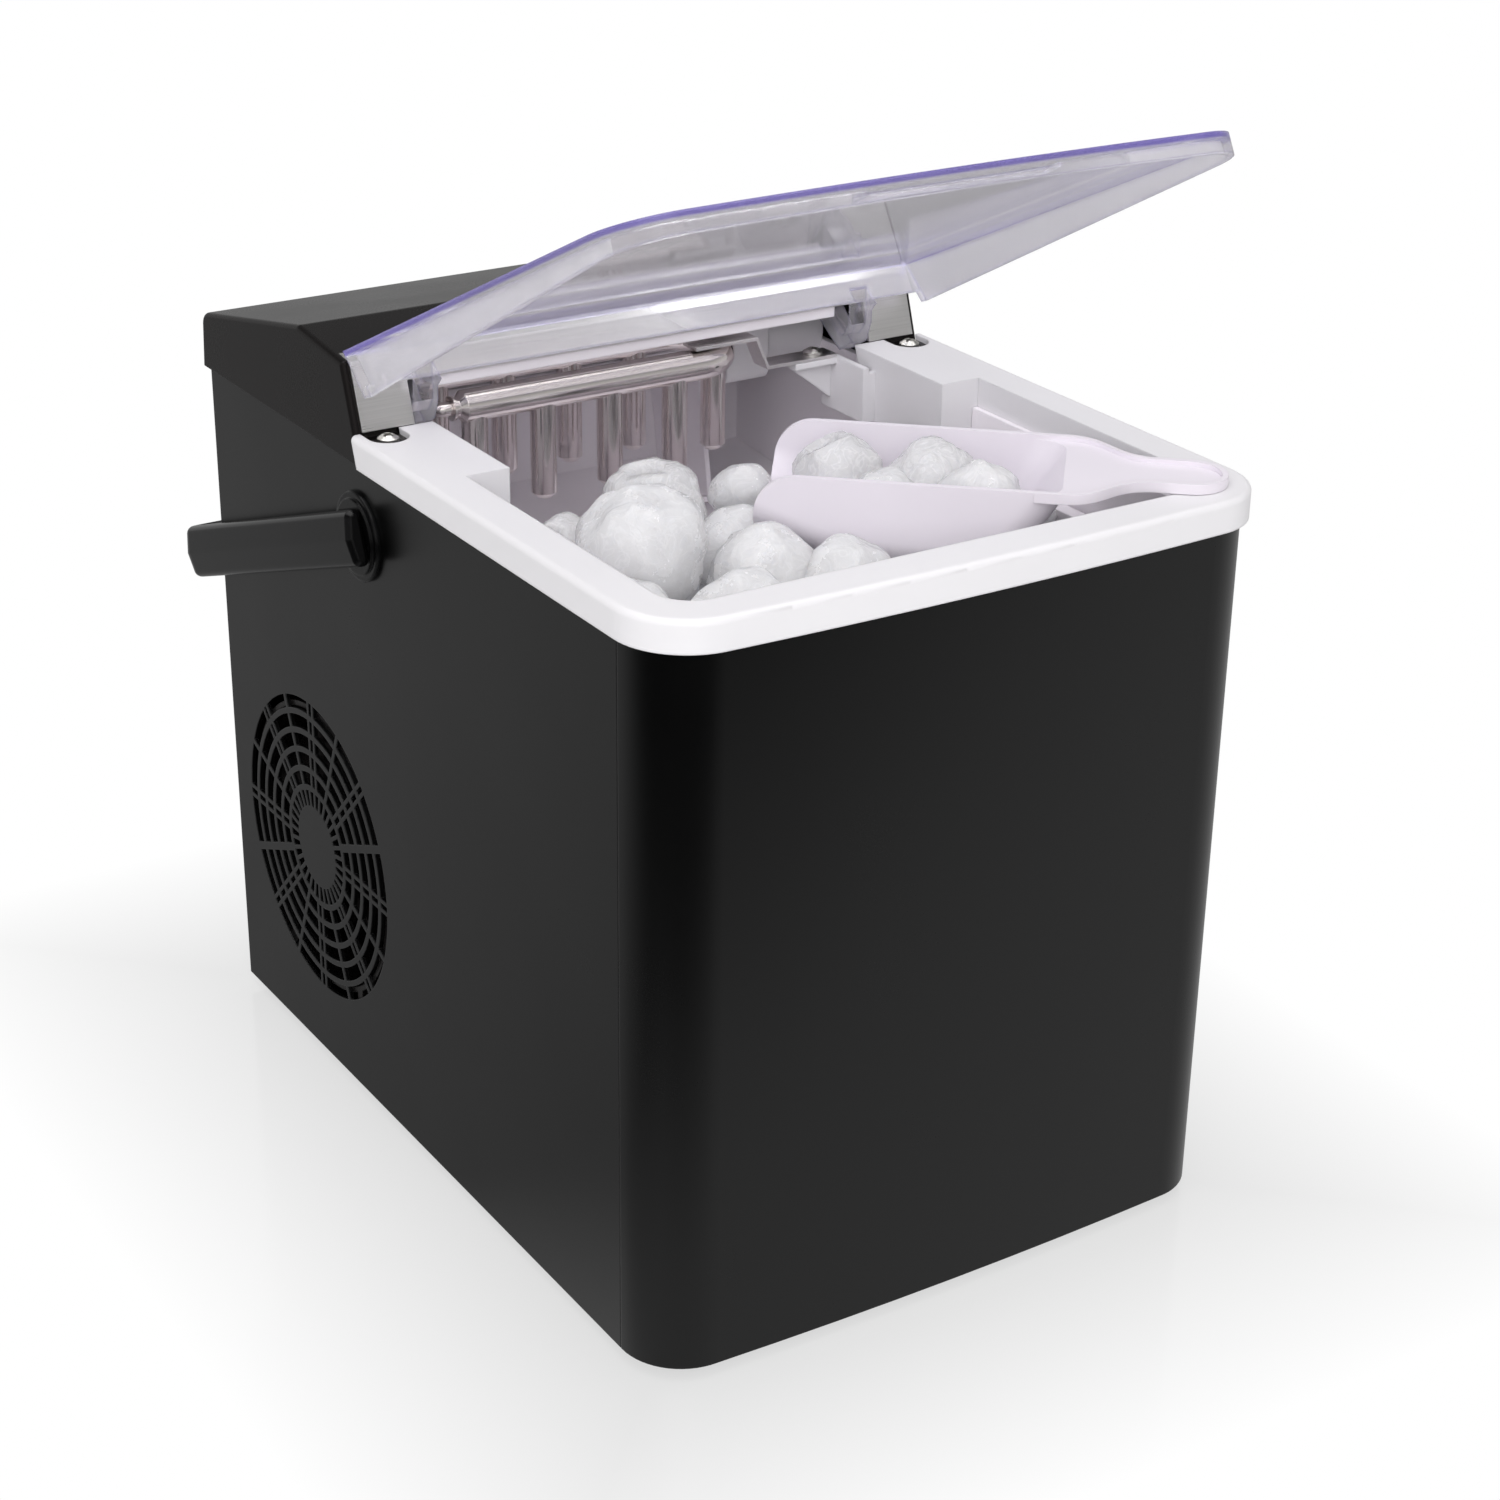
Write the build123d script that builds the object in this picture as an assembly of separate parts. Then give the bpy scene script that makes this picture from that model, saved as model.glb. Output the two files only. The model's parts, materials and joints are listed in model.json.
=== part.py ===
from build123d import *
import os
from math import cos, sin, tan, atan2, radians, sqrt

# Casing
body_width = 225.0
body_depth = 310.0
body_height = 245.7
corner_radius = 22.0
front_crown = 2.1
sheet = 1.5
seam_past_corner = 1.0
panel_gap = 0.3
foot_height = 5.0
foot_radius = 11.0
foot_inset = 30.0
pan_floor = 2.5
pan_wall_height = 16.0
pan_gap = 0.2
pan_wall = 2.0
foot_bevel = 1.2
overrun = 20.0
vent_slot = 5.0
vent_pitch = 14.0
side_vent_rows = 7
side_vent_length = 46.0
side_vent_columns = (100.0, 44.0)
side_vent_drop = 42.0
rear_vent_rows = 6
rear_vent_length = 100.0
rear_vent_x = 20.0
rear_vent_drop = 30.0

# Drain and power inlet in the rear panel
drain_from_side = 16.0
drain_z = 30.0
inlet_from_side = 34.0
inlet_z = 34.0
spout_radius = 7.0
spout_length = 16.0
spout_collar = 2.5
plug_stem_radius = 4.0
plug_stem_length = 10.0
plug_radius = 9.5
plug_cap = 5.0
plug_grip = 3.8
gland_radius = 11.0
gland_cap = 3.0
gland_neck_radius = 7.95
gland_neck_length = 9.0
gland_bore = 3.75
hose_radius = 5.5
hose_rise = 14.0

# Fan grille in the left panel
grille_from_rear = 70.3
grille_height_share = 0.345
grille_radius = 57.0
grille_disc_radius = 15.6
grille_rings = 5
grille_ring_pitch = 7.1
grille_ring_bar = 2.15
spoke_width = 1.8
main_spoke_width = 3.0
twin_spoke_width = 1.5
twin_spoke_gap = 3.6
grille_turn = -22.5
inner_bars = 32
inner_bar_width = 1.5
spoke_count = 8

# White rim round the bin mouth
rim_height = 10.5
rim_over_front = 3.0
rim_over_side = 2.0
rim_front_width = 11.0
rim_side_width = 12.5
rim_inner_corner = 12.0
rim_edge_round = 2.0
shelf_depth = 49.7
shelf_inner_margin = 28.0
cheek_wall = 2.5
cheek_drop = 40.0
tab_radius = 6.5
tab_from_side = 8.5
tab_from_bay = 2.7
tab_thickness = 2.0
tab_sink = 1.7
tab_gap = 0.5
strap_wall_ahead = 10.0
strap_wall_behind = 16.0
strap_wall_drop = 14.0
strap_rib_drop = 10.0
strap_rib = 2.0

# Rear top cover and its steel trim plate
bay_from_rear = 122.8
lean = 0.346
cover_front_rise = 22.1
ridge_run = 46.3
ridge_rise = 25.8
cover_rear_rise = 19.6
cover_rear_over = 6.0
cover_foot_over = 7.7
cover_wall = 2.5
cover_side_round = 1.8
ridge_round = 5.0
plate_thickness = 1.2
plate_half_margin = 2.5
plate_leg_width = 19.0
plate_strip_height = 8.3
plate_flange = 8.0
plate_seat_gap = 0.2
cover_rear_round = 5.0
cover_screw_radius = 3.6
cover_screw_head = 2.4
ear_half = 5.0
board_post_radius = 2.5
board_post_length = 6.7

# Lid
lid_margin = 1.0
lid_wall = 2.5
lid_corner = 22.0
lid_front_over = 4.0
lid_crown = 4.0
lid_seat_gap = 0.3
lid_front_height = 6.5
lid_rear_height = 17.5
lid_rear_bottom = -3.43
lid_rear_top = 4.37
lid_rear_relief = 4.0
lid_open_angle = 28.4
hinge_run = 22.17
hinge_rise = 11.8
arm_width = 7.3
arm_plate_gap = 0.7
eye_radius = 5.5
hinge_pin_radius = 2.0
running_gap = 0.05
ear_thickness = 4.0
lip_half_width = 34.0
lip_depth = 9.0
lip_thickness = 1.7

# Carry handle
hub_run = 3.3
hub_drop = 24.4
handle_fold = 20.0
handle_height = 19.0
handle_thickness = 6.6
handle_side_gap = 3.7
handle_reach = 138.5
handle_front_over = 12.5
handle_outer_round = 2.9
handle_inner_round = 2.0
handle_edge_share = 0.55
handle_bend = 7.0
hub_flange_radius = 15.5
hub_step_radius = 13.0
hub_pin_radius = 5.0
hub_flange = 1.8
hub_pin_step = 0.5
hub_nut = 6.0
hub_nut_radius = 8.0
hub_pin_tail = 8.0
hub_pin_reach = 3.0
handle_bore_end_gap = 0.4
handle_end_bevel = 1.6
handle_cup_share = 0.62
handle_cup_inset = 0.6

# Bin, tank and basket
tank_side_margin = 14.5
tank_wall = 2.5
tank_floor = 42.0
bin_rear_from_bay = 37.2
chute_low = 80.7
chute_high = 55.7
tank_rear_margin = 20.0
tank_corner = 11.0
roof_thickness = 1.6
roof_gap = 0.8
roof_arm_gap = 3.0
roof_left = -66.0
ledge_drop = 20.7
ledge_width = 3.5
ledge_height = 5.0
basket_wall = 2.0
basket_front_gap = 4.0
basket_rear_gap = 1.5
basket_side_gap = 5.0
reservoir_height = 70.7
basket_lip = 3.6
basket_lip_height = 2.7
basket_slot_width = 4.0
basket_slots = 9
basket_corner = 5.0
basket_lip_inset = 14.0
basket_slot_margin = 12.0
basket_slot_side = 15.0
basket_notch_side = 20.0
basket_notch_depth = 16.0
ledge_inset = 12.0
tank_bevel = 10.0
chute_step = 15.0

# Evaporator, tray and drive
evap_run = 10.8
evap_rise = 0.5
evap_tube_radius = 5.5
evap_row = 28.5
evap_rear_rise = 2.6
evap_tail = 4.6
stub_radius = 3.4
collar_radius = 4.2
finger_radius = 4.5
finger_length = 37.3
finger_first = -65.3
finger_pitch = 26.2
fingers_per_row = 4
bend_centre = 23.75
bracket_lift = 0.7
strap_width = 9.0
strap_length = 17.5
strap_screw_radius = 3.4
strap_screw_head = 2.2
stub_end = 9.0
taper_length = 2.0
collar_width = 1.0
finger_bevel = 1.8
line_from_rear = 10.0
line_bend = 4.0
tight_bend = 2.9
valve_from_compressor = 32.0
valve_half = 8.0
valve_low = 103.0
valve_high = 119.0
valve_coil_top = 131.0
valve_coil_radius = 6.5
suction_turn_z = 110.0
hot_gas_turn_z = 80.0
suction_drop = 75.0
hot_gas_drop = 58.0
line_radius = 2.5
tray_run = 53.8
tray_rise = -6.2
tray_left = -79.0
tray_right = 50.0
tray_wall = 2.0
tray_sweep = 58.0
tray_depth = 35.0
tray_back_low = 6.5
tray_tip_angle = 80.0
tray_pin_radius = 2.5
tray_boss_radius = 3.8
gearbox_gap = 4.0
gearbox_length = 18.0
gearmotor_radius = 12.0
tray_boss_length = 5.0
tray_pin_left = 14.0
tray_pin_right = 12.0
tray_lip_back = 2.0
tray_curve_angle = 0.32
bearing_gap = 3.0
bearing_half = 7.0
bearing_drop = 14.0
bearing_round = 5.0

# Scoop
scoop_width = 58.0
scoop_length = 99.0
scoop_ramp = 19.0
scoop_bend = 29.4
scoop_pitch = 0.6
scoop_floor = 1.8
scoop_depth = 31.0
scoop_wall = 2.0
scoop_handle = 48.0
scoop_handle_width = 24.0
scoop_turn = -40.0
scoop_rise = 14.0
scoop_tip_from_side = 10.5
scoop_tip_from_front = 9.0
scoop_seat_gap = 0.1
scoop_nose_rise = 11.0
scoop_side_round = 11.0
scoop_nose = 14.0
scoop_shoulder = 4.0
scoop_neck = 26.0
scoop_root = 12.0
scoop_dish_root = 22.0

# Control fascia
fascia_width = 84.0
fascia_depth = 17.0
fascia_thickness = 1.2
fascia_gap = 0.2
button_radius = 6.5
button_gap = 0.35
button_spread = 26.0
button_stand = 0.9
button_travel = 1.0
lens_radius = 1.8
lens_pitch = 9.0
lens_stand = 0.3
fascia_back_gap = 1.5
fascia_ledge = 4.0
button_skirt = 0.85
button_body = 2.6
button_stem_radius = 2.0
button_stem = 2.4
button_bevel = 0.5
board_depth = 9.0
board_thickness = 1.6
board_margin = 6.0
switch_size = 6.0
switch_gap = 0.4
lamp_radius = 1.4
lamp_height = 6.6

# Cooling parts
fan_radius = 50.0
fan_hub_radius = 16.0
fan_depth = 14.0
fan_from_panel = 4.0
fan_blade_count = 5
shroud_gap = 2.5
shroud_wall = 2.0
shroud_depth = 24.0
fan_motor_radius = 17.0
fan_motor_length = 24.0
fan_shaft_radius = 2.0
condenser_from_panel = 60.0
condenser_thickness = 24.0
condenser_half_depth = 56.0
condenser_fins_count = 9
coil_radius = 3.2
coil_rows = 4
compressor_radius = 52.0
compressor_x = 36.0
compressor_from_rear = 77.0
compressor_stand = 14.0
compressor_headroom = 12.5
compressor_foot_length = 108.0
compressor_foot_width = 30.0
compressor_foot = 2.0
compressor_seam = 1.2
mount_radius = 7.0
mount_spread = 46.0
blade_thickness = 1.6
blade_root_width = 15.0
blade_tip_width = 25.0
blade_root_turn = 52.0
blade_tip_turn = 28.0
fan_cap = 2.5
fan_boss_radius = 5.0
motor_from_fan = 6.0
motor_nose_radius = 6.0
motor_nose = 3.0
motor_bevel = 3.0
shaft_tail = 16.0
motor_bore_depth = 12.0
shroud_arm = 4.0
shroud_cup = 8.0
shroud_foot_half = 30.0
condenser_height = 108.0
fin_thickness = 0.8
fin_margin = 8.0
coil_span = 84.0
coil_bend = 7.0
leg_thickness = 1.0
leg_foot = 8.0
drier_radius = 7.5
drier_low = 55.0
drier_high = 100.0
drier_pipe_radius = 2.2
drier_pipe = 12.0

# Water parts and small fittings
pump_x = -60.0
pump_from_bin_rear = 50.0
pump_half_width = 18.0
pump_half_depth = 16.0
pump_height = 24.0
pump_motor_radius = 11.0
pump_motor_height = 10.0
pump_port_z = 16.0
pump_port_radius = 4.5
pump_port_length = 10.0
tube_radius = 3.0
tube_bend = 4.2
tube_from_wall = 4.0
tube_nozzle_radius = 1.5
sensor_width = 12.0
sensor_thickness = 2.5
sensor_from_shelf = 12.0
sensor_drop = 10.0
sensor_lens_radius = 2.5
screw_radius = 3.4
screw_head = 2.0
screw_from_side = 9.0
screw_low = 70.0
screw_from_top = 12.0

# Positions that follow from the sizes above
half = body_width / 2
top = body_height
rim_top = top + rim_height
bay = body_depth - bay_from_rear
rim_end = bay + rim_height * lean
cover_z = rim_top + cover_front_rise
ridge_y = bay + ridge_run
ridge_z = rim_top + ridge_rise
hinge_y = rim_end + hinge_run
hinge_z = rim_top + hinge_rise
hub_y = bay + hub_run
hub_z = top - hub_drop
shelf_y = bay - shelf_depth
shelf_x = half - shelf_inner_margin
opening_x = half - rim_side_width
tank_x = half - tank_side_margin
bin_rear = bay - bin_rear_from_bay
evap_y = bay + evap_run
evap_z = rim_top + evap_rise
evap_back = evap_y + evap_row
evap_back_z = evap_z + evap_rear_rise
tube_end = finger_first - evap_tail
line_start = finger_first - stub_end
strap_y = evap_y - 4.0
strap_end = shelf_x - 5.5
strap_tip = strap_end - strap_length
strap_seat = top + 6.0
tray_y = bay + tray_run
tray_z = rim_top + tray_rise
fan_y = body_depth - grille_from_rear
fan_z = body_height * grille_height_share
fan_x = -half + sheet + fan_from_panel
ledge_z = top - ledge_drop
basket_x = tank_x - basket_side_gap
basket_front = rim_front_width + basket_front_gap
basket_rear = shelf_y - basket_rear_gap
basket_floor = tank_floor + reservoir_height
leg_inner = half - plate_half_margin - plate_leg_width
arm_outer = leg_inner - arm_plate_gap
arm_inner = arm_outer - arm_width
facet_tilt = atan2(ridge_z - cover_z, ridge_y - rim_end - cover_front_rise * lean)
seam = corner_radius + seam_past_corner
plate_run = plate_thickness * 1.06
handle_inner = half + handle_side_gap
handle_outer = handle_inner + handle_thickness
rim_front = -front_crown - rim_over_front
bail_mid = handle_reach + handle_thickness / 2
bail_slope = (1 - handle_edge_share) * handle_thickness / 2
bail_face = sqrt(bail_slope ** 2 + (handle_height / 2) ** 2)
bail_edge = (handle_edge_share * handle_thickness / 2
             - 2 * handle_outer_round * (bail_face - bail_slope) / handle_height)
bail_rise = handle_height / 2 - handle_outer_round
bail_rear = (hub_y + (bail_mid + bail_edge) * cos(radians(handle_fold))
             + bail_rise * sin(radians(handle_fold)) + handle_outer_round)
origin_y = (rim_front + bail_rear) / 2
plate_mid_low = cover_z - plate_strip_height
drain_x = half - drain_from_side
inlet_x = inlet_from_side - half
line_drop_y = body_depth - line_from_rear
valve_x = compressor_x + valve_from_compressor
compressor_y = body_depth - compressor_from_rear
condenser_x = -half + condenser_from_panel + condenser_thickness / 2
pump_y = bin_rear - pump_from_bin_rear
on_floor = (Align.CENTER, Align.CENTER, Align.MIN)


def lean_y(z):
    return bay + (z - top) * lean


def block(x0, x1, y0, y1, z0, z1):
    return Pos((x0 + x1) / 2, (y0 + y1) / 2, (z0 + z1) / 2) * Box(x1 - x0, y1 - y0, z1 - z0)


def slab(points, x0, x1):
    return extrude(Plane.YZ.offset(x0) * make_face(Polyline(*points, close=True)), x1 - x0)


def rod(start, length, radius, turn):
    return Pos(*start) * Rot(*turn) * Cylinder(radius, length, align=on_floor)


def rod_x(x0, x1, y, z, radius):
    return rod((x0, y, z), x1 - x0, radius, (0, 90, 0))


def rod_y(x, y0, y1, z, radius):
    return rod((x, y0, z), y1 - y0, radius, (-90, 0, 0))


def rod_z(x, y, z0, z1, radius):
    return rod((x, y, z0), z1 - z0, radius, (0, 0, 0))


def both_sides(shape):
    return shape + mirror(shape, about=Plane.YZ)


def pipe(points, radius, bend):
    path = FilletPolyline(*points, radius=bend)
    return sweep(Plane(origin=path @ 0, z_dir=path % 0) * Circle(radius), path=path)


def plan(half_width, front, crown, radius, rear):
    left = Line((-half_width, rear), (-half_width, front + radius))
    turn = JernArc(start=left @ 1, tangent=(0, -1), radius=radius, arc_size=90)
    bow = ThreePointArc(turn @ 1, (0, front - crown), (half_width - radius, front))
    back_turn = JernArc(start=bow @ 1, tangent=(1, 0), radius=radius, arc_size=90)
    right = Line(back_turn @ 1, (half_width, rear))
    close = Line(right @ 1, left @ 0)
    return make_face([left, turn, bow, back_turn, right, close])


def casing_plan(inset):
    return plan(half - inset, inset, front_crown, corner_radius - inset, body_depth - inset)


def feet():
    foot = rod_z(0, 0, -foot_height, 0, foot_radius)
    foot = chamfer(foot.edges().group_by(Axis.Z)[0], foot_bevel)
    across = (foot_inset - half, half - foot_inset)
    along = (foot_inset, body_depth - foot_inset)
    return Compound(children=[Pos(x, y, 0) * foot for x in across for y in along])


def base_pan():
    outer = extrude(casing_plan(sheet + pan_gap), pan_wall_height)
    inner = Pos(0, 0, pan_floor) * extrude(casing_plan(sheet + pan_gap + pan_wall), pan_wall_height)
    return outer - inner


def front_panel():
    shell = extrude(casing_plan(0), top) - extrude(casing_plan(sheet), top)
    return shell & block(-half, half, -overrun, seam - panel_gap, 0, top)


def grille_slots():
    spokes = Sketch()
    turn = 360 / spoke_count
    length = grille_radius + grille_ring_bar
    for step in range(spoke_count):
        width = main_spoke_width if step % 4 == 0 else spoke_width
        angle = grille_turn + turn * step
        spokes += Rot(0, 0, angle) * Pos(grille_radius / 2, 0) * Rectangle(length, width)
        for side in (-0.5, 0.5):
            offset_y = side * twin_spoke_gap
            twin = Pos(grille_radius / 2, offset_y) * Rectangle(length, twin_spoke_width)
            spokes += Rot(0, 0, angle + turn / 2) * twin
    rings = Sketch()
    for ring in range(grille_rings):
        outer = grille_radius - ring * grille_ring_pitch
        inner = outer - grille_ring_pitch + grille_ring_bar
        rings += Circle(outer) - Circle(inner)
    rings -= spokes
    eye = grille_radius - grille_rings * grille_ring_pitch
    fine = Circle(eye) - Circle(grille_disc_radius)
    for step in range(inner_bars):
        fine -= Rot(0, 0, step * 360 / inner_bars) * Pos(eye / 2, 0) * Rectangle(eye + 2, inner_bar_width)
    return Pos(fan_y, fan_z) * (rings + fine)


def side_sheet():
    length = body_depth - seam
    panel = Pos(seam + length / 2, top / 2) * Rectangle(length, top)
    return panel - Pos(hub_y, hub_z) * Circle(hub_pin_radius)


def left_side_panel():
    return extrude(Plane.YZ.offset(-half) * (side_sheet() - grille_slots()), sheet)


def right_side_panel():
    slots = Sketch()
    for row in range(side_vent_rows):
        for from_rear in side_vent_columns:
            spot = Pos(body_depth - from_rear, fan_z - side_vent_drop + vent_pitch * row)
            slots += spot * SlotOverall(side_vent_length, vent_slot)
    return extrude(Plane.YZ.offset(half - sheet) * (side_sheet() - slots), sheet)


def rear_panel():
    width = body_width - 2 * sheet
    sheet_plan = Pos(0, top / 2) * Rectangle(width, top)
    for row in range(rear_vent_rows):
        spot = Pos(rear_vent_x, fan_z - rear_vent_drop + vent_pitch * row)
        sheet_plan -= spot * SlotOverall(rear_vent_length, vent_slot)
    sheet_plan -= Pos(drain_x, drain_z) * Circle(spout_radius + 0.1)
    sheet_plan -= Pos(inlet_x, inlet_z) * Circle(gland_neck_radius + running_gap)
    return Pos(0, body_depth, 0) * extrude(Plane.XZ * sheet_plan, sheet)


def cord_gland():
    body = rod_y(inlet_x, body_depth, body_depth + gland_cap, inlet_z, gland_radius)
    body = chamfer(body.edges().group_by(Axis.Y)[-1], 0.4 * gland_cap)
    body += rod_y(inlet_x, body_depth - gland_neck_length, body_depth, inlet_z, gland_neck_radius)
    return body - rod_y(inlet_x, body_depth - overrun, body_depth + overrun, inlet_z, gland_bore)


def drain_spout():
    inside = body_depth - sheet
    tube = rod_y(drain_x, body_depth - spout_length, body_depth, drain_z, spout_radius)
    tube += rod_y(drain_x, inside - spout_collar, inside, drain_z, spout_radius + spout_collar)
    bore = plug_stem_radius + running_gap
    return tube - rod_y(drain_x, body_depth - overrun, body_depth + overrun, drain_z, bore)


def drain_hose():
    start = (tank_x - ledge_inset, bin_rear + tank_wall, tank_floor + hose_rise)
    points = [start, (start[0], bin_rear + 16.0, start[2]), (drain_x, bin_rear + 34.0, drain_z),
              (drain_x, body_depth - spout_length, drain_z)]
    return pipe(points, hose_radius, 8.0)


def drain_plug():
    seat = body_depth + 0.2
    cap = rod_y(drain_x, seat, seat + plug_cap, drain_z, plug_radius)
    cap = chamfer(cap.edges().group_by(Axis.Y)[-1], 1.0)
    grip = plug_radius - 2.5
    cap += block(drain_x - 1.5, drain_x + 1.5, seat + plug_cap, seat + plug_cap + plug_grip,
                 drain_z - grip, drain_z + grip)
    return cap + rod_y(drain_x, body_depth - plug_stem_length, seat, drain_z, plug_stem_radius)


def tab_spots():
    return [(side * (half - tab_from_side), bay - tab_from_bay) for side in (-1, 1)]


def tab_shape(radius, rear, z0, z1):
    shapes = []
    for x, y in tab_spots():
        shapes.append(rod_z(x, y, z0, z1, radius) + block(x - radius, x + radius, y, rear, z0, z1))
    return shapes[0] + shapes[1]


def rim_frame():
    corner = corner_radius + rim_over_side
    outline = plan(half + rim_over_side, -rim_over_front, front_crown, corner, bay + overrun)
    ring = Pos(0, 0, top) * extrude(outline, rim_height)
    behind = [(lean_y(top), top - 1), (lean_y(top), top), (lean_y(rim_top), rim_top),
              (lean_y(rim_top), rim_top + 5), (bay + 60, rim_top + 5), (bay + 60, top - 1)]
    ring -= slab(behind, -half - 10, half + 10)
    edge = [e for e in ring.edges().group_by(Axis.Z)[-1] if e.center().Y < bay - 1]
    ring = fillet(edge, rim_edge_round)
    mouth = block(-opening_x, opening_x, rim_front_width, shelf_y, top - 1, rim_top + 1)
    mouth = fillet(mouth.edges().filter_by(Axis.Z).group_by(Axis.Y)[0], rim_inner_corner)
    ring -= mouth + block(-shelf_x, shelf_x, shelf_y - overrun, bay + overrun, top - 1, rim_top + 1)
    floor = rim_top - tab_sink - tab_thickness - 0.1
    ring -= tab_shape(tab_radius + tab_gap, bay + overrun, floor, rim_top + 5)
    cheek = block(shelf_x, shelf_x + cheek_wall, shelf_y, bay - 0.5, top - cheek_drop, top)
    cheek += block(shelf_x, tank_x, shelf_y, shelf_y + cheek_wall, top - cheek_drop, top)
    return ring + both_sides(cheek) + strap_support()


def strap_support():
    t = cheek_wall
    x = strap_end
    seat = strap_seat
    ahead = bay - strap_wall_ahead
    low = top - strap_wall_drop
    wall = block(x, x + t, ahead, bay + strap_wall_behind, low, seat)
    wall += block(x, shelf_x + 0.5, ahead, ahead + t, low, seat - strap_rib)
    wall += block(strap_tip, x, strap_y, strap_y + strap_width, seat - t, seat)
    rib = make_face(Polyline((x, top - strap_rib_drop), (x, seat - t), (strap_tip, seat - t), close=True))
    rib_y = strap_y + (strap_width + strap_rib) / 2
    return wall + Pos(0, rib_y, 0) * extrude(Plane.XZ * rib, strap_rib)


def cover_profile():
    t = tan(facet_tilt)
    front = lean_y(cover_z) + plate_run
    return [(lean_y(top) + plate_run, top), (front, cover_z + plate_run * t), (ridge_y, ridge_z),
            (body_depth + cover_rear_over, top + cover_rear_rise), (body_depth + cover_foot_over, top)]


def facet_plane():
    y = lean_y(cover_z) + plate_flange + fascia_depth / 2 + fascia_back_gap
    z = cover_z + (y - lean_y(cover_z)) * tan(facet_tilt)
    return Plane(origin=(0, y, z), x_dir=(1, 0, 0), z_dir=(0, -sin(facet_tilt), cos(facet_tilt)))


def hinge_plate():
    t = tan(facet_tilt)
    low = rim_top + plate_seat_gap
    front = lean_y(cover_z)
    points = [(lean_y(low), low), (front, cover_z), (front + plate_flange, cover_z + plate_flange * t),
              (front + plate_flange, cover_z + plate_flange * t - plate_thickness),
              (front + plate_run, cover_z + plate_run * t - plate_thickness),
              (lean_y(low) + plate_run, low)]
    edge = half - plate_half_margin
    sheet_metal = slab(points, -edge, edge)
    return sheet_metal - block(-leg_inner, leg_inner, bay - 5, bay + 30, low - 1, plate_mid_low)


def cover_shell():
    profile = make_face(Polyline(*cover_profile(), close=True))
    outer = extrude(Plane.YZ.offset(-half) * profile, body_width)
    ridge = [e for e in outer.edges().filter_by(Axis.X) if abs(e.center().Y - ridge_y) < 0.1]
    outer = fillet(ridge, ridge_round)
    rear = [e for e in outer.edges().filter_by(Axis.X)
            if e.center().Y > body_depth and e.center().Z > top + 5]
    outer = fillet(rear, cover_rear_round)
    sides = [e for e in outer.edges() if abs(abs(e.center().X) - half) < 0.01 and e.center().Z > top + 0.5]
    outer = fillet(sides, cover_side_round)
    core = offset(profile, -cover_wall)
    low_y = lean_y(top) + plate_run + cover_wall
    inner = extrude(Plane.YZ.offset(-half + cover_wall) * core, body_width - 2 * cover_wall)
    inner += block(-half + cover_wall, half - cover_wall, low_y + 1.0, body_depth + 4.5, top - 1, top + 6)
    return outer - inner


def rear_top_cover():
    cover = cover_shell() - hinge_plate()
    cover -= block(-leg_inner, leg_inner, bay - 5, bay + 16, top - 1, plate_mid_low)
    lip = block(-half + cover_wall, half - cover_wall, body_depth + 0.3, body_depth + 5.0, top, top + 2.5)
    ear_x = leg_inner + 1.0
    ear = block(ear_x, ear_x + ear_thickness, hinge_y - ear_half, hinge_y + ear_half,
                hinge_z - ear_half, ridge_z - cover_wall - 1.0)
    ear -= rod_x(ear_x - 1, ear_x + ear_thickness + 1, hinge_y, hinge_z, hinge_pin_radius)
    tab_top = rim_top - tab_sink
    tabs = tab_shape(tab_radius, lean_y(tab_top) + plate_run + cover_wall, tab_top - tab_thickness, tab_top)
    cover += lip + both_sides(ear) + tabs
    face = facet_plane()
    around = Rectangle(fascia_width + 2 * fascia_gap, fascia_depth + 2 * fascia_gap)
    pocket = extrude(face * around, -fascia_thickness)
    window = extrude(face * Rectangle(fascia_width - 2 * fascia_ledge, fascia_depth - 1.4), -overrun)
    cover -= pocket + window
    post_x = fascia_width / 2 + board_post_radius
    for x in (-post_x, post_x):
        post = Pos(x, 0) * Circle(board_post_radius)
        cover += extrude(face.offset(-cover_wall + 0.2) * post, -board_post_length)
    return cover


def cross_head(x, y, z, radius, height, turn):
    head = rod_z(x, y, z, z + height, radius)
    head = chamfer(head.edges().group_by(Axis.Z)[-1], height / 2, radius / 2)
    for angle in (turn, turn + 90):
        head -= Pos(x, y, z + height) * Rot(0, 0, angle) * Box(1.17 * radius, 0.28 * radius, height)
    return head


def cover_screws():
    z = rim_top - tab_sink
    heads = [cross_head(x, y, z, cover_screw_radius, cover_screw_head, 30) for x, y in tab_spots()]
    return Compound(children=heads)


def control_fascia():
    face = facet_plane()
    plate = Rectangle(fascia_width, fascia_depth)
    for x in (-button_spread, button_spread):
        plate -= Pos(x, 0) * Circle(button_radius + button_gap)
    for step in (-1, 0, 1):
        plate -= Pos(lens_pitch * step, 0) * Circle(lens_radius)
    return extrude(face * plate, -fascia_thickness)


def button(x):
    face = facet_plane()
    spot = Pos(x, 0)
    under = fascia_thickness + running_gap
    cap = extrude(face.offset(button_stand) * spot * Circle(button_radius), -button_stand - button_body)
    cap = chamfer(cap.edges().sort_by(Axis.Z)[-1], button_bevel)
    skirt = spot * Circle(button_radius + button_skirt)
    cap += extrude(face.offset(-under) * skirt, under - button_body)
    return cap + extrude(face.offset(-button_body) * spot * Circle(button_stem_radius), -button_stem)


def power_button():
    return button(-button_spread)


def select_button():
    return button(button_spread)


def indicator_lenses():
    face = facet_plane()
    depth = lens_stand + fascia_thickness + 0.7
    lenses = []
    for step in (-1, 0, 1):
        spot = Pos(lens_pitch * step, 0) * Circle(lens_radius)
        lenses.append(extrude(face.offset(lens_stand) * spot, -depth))
    return Compound(children=lenses)


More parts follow.
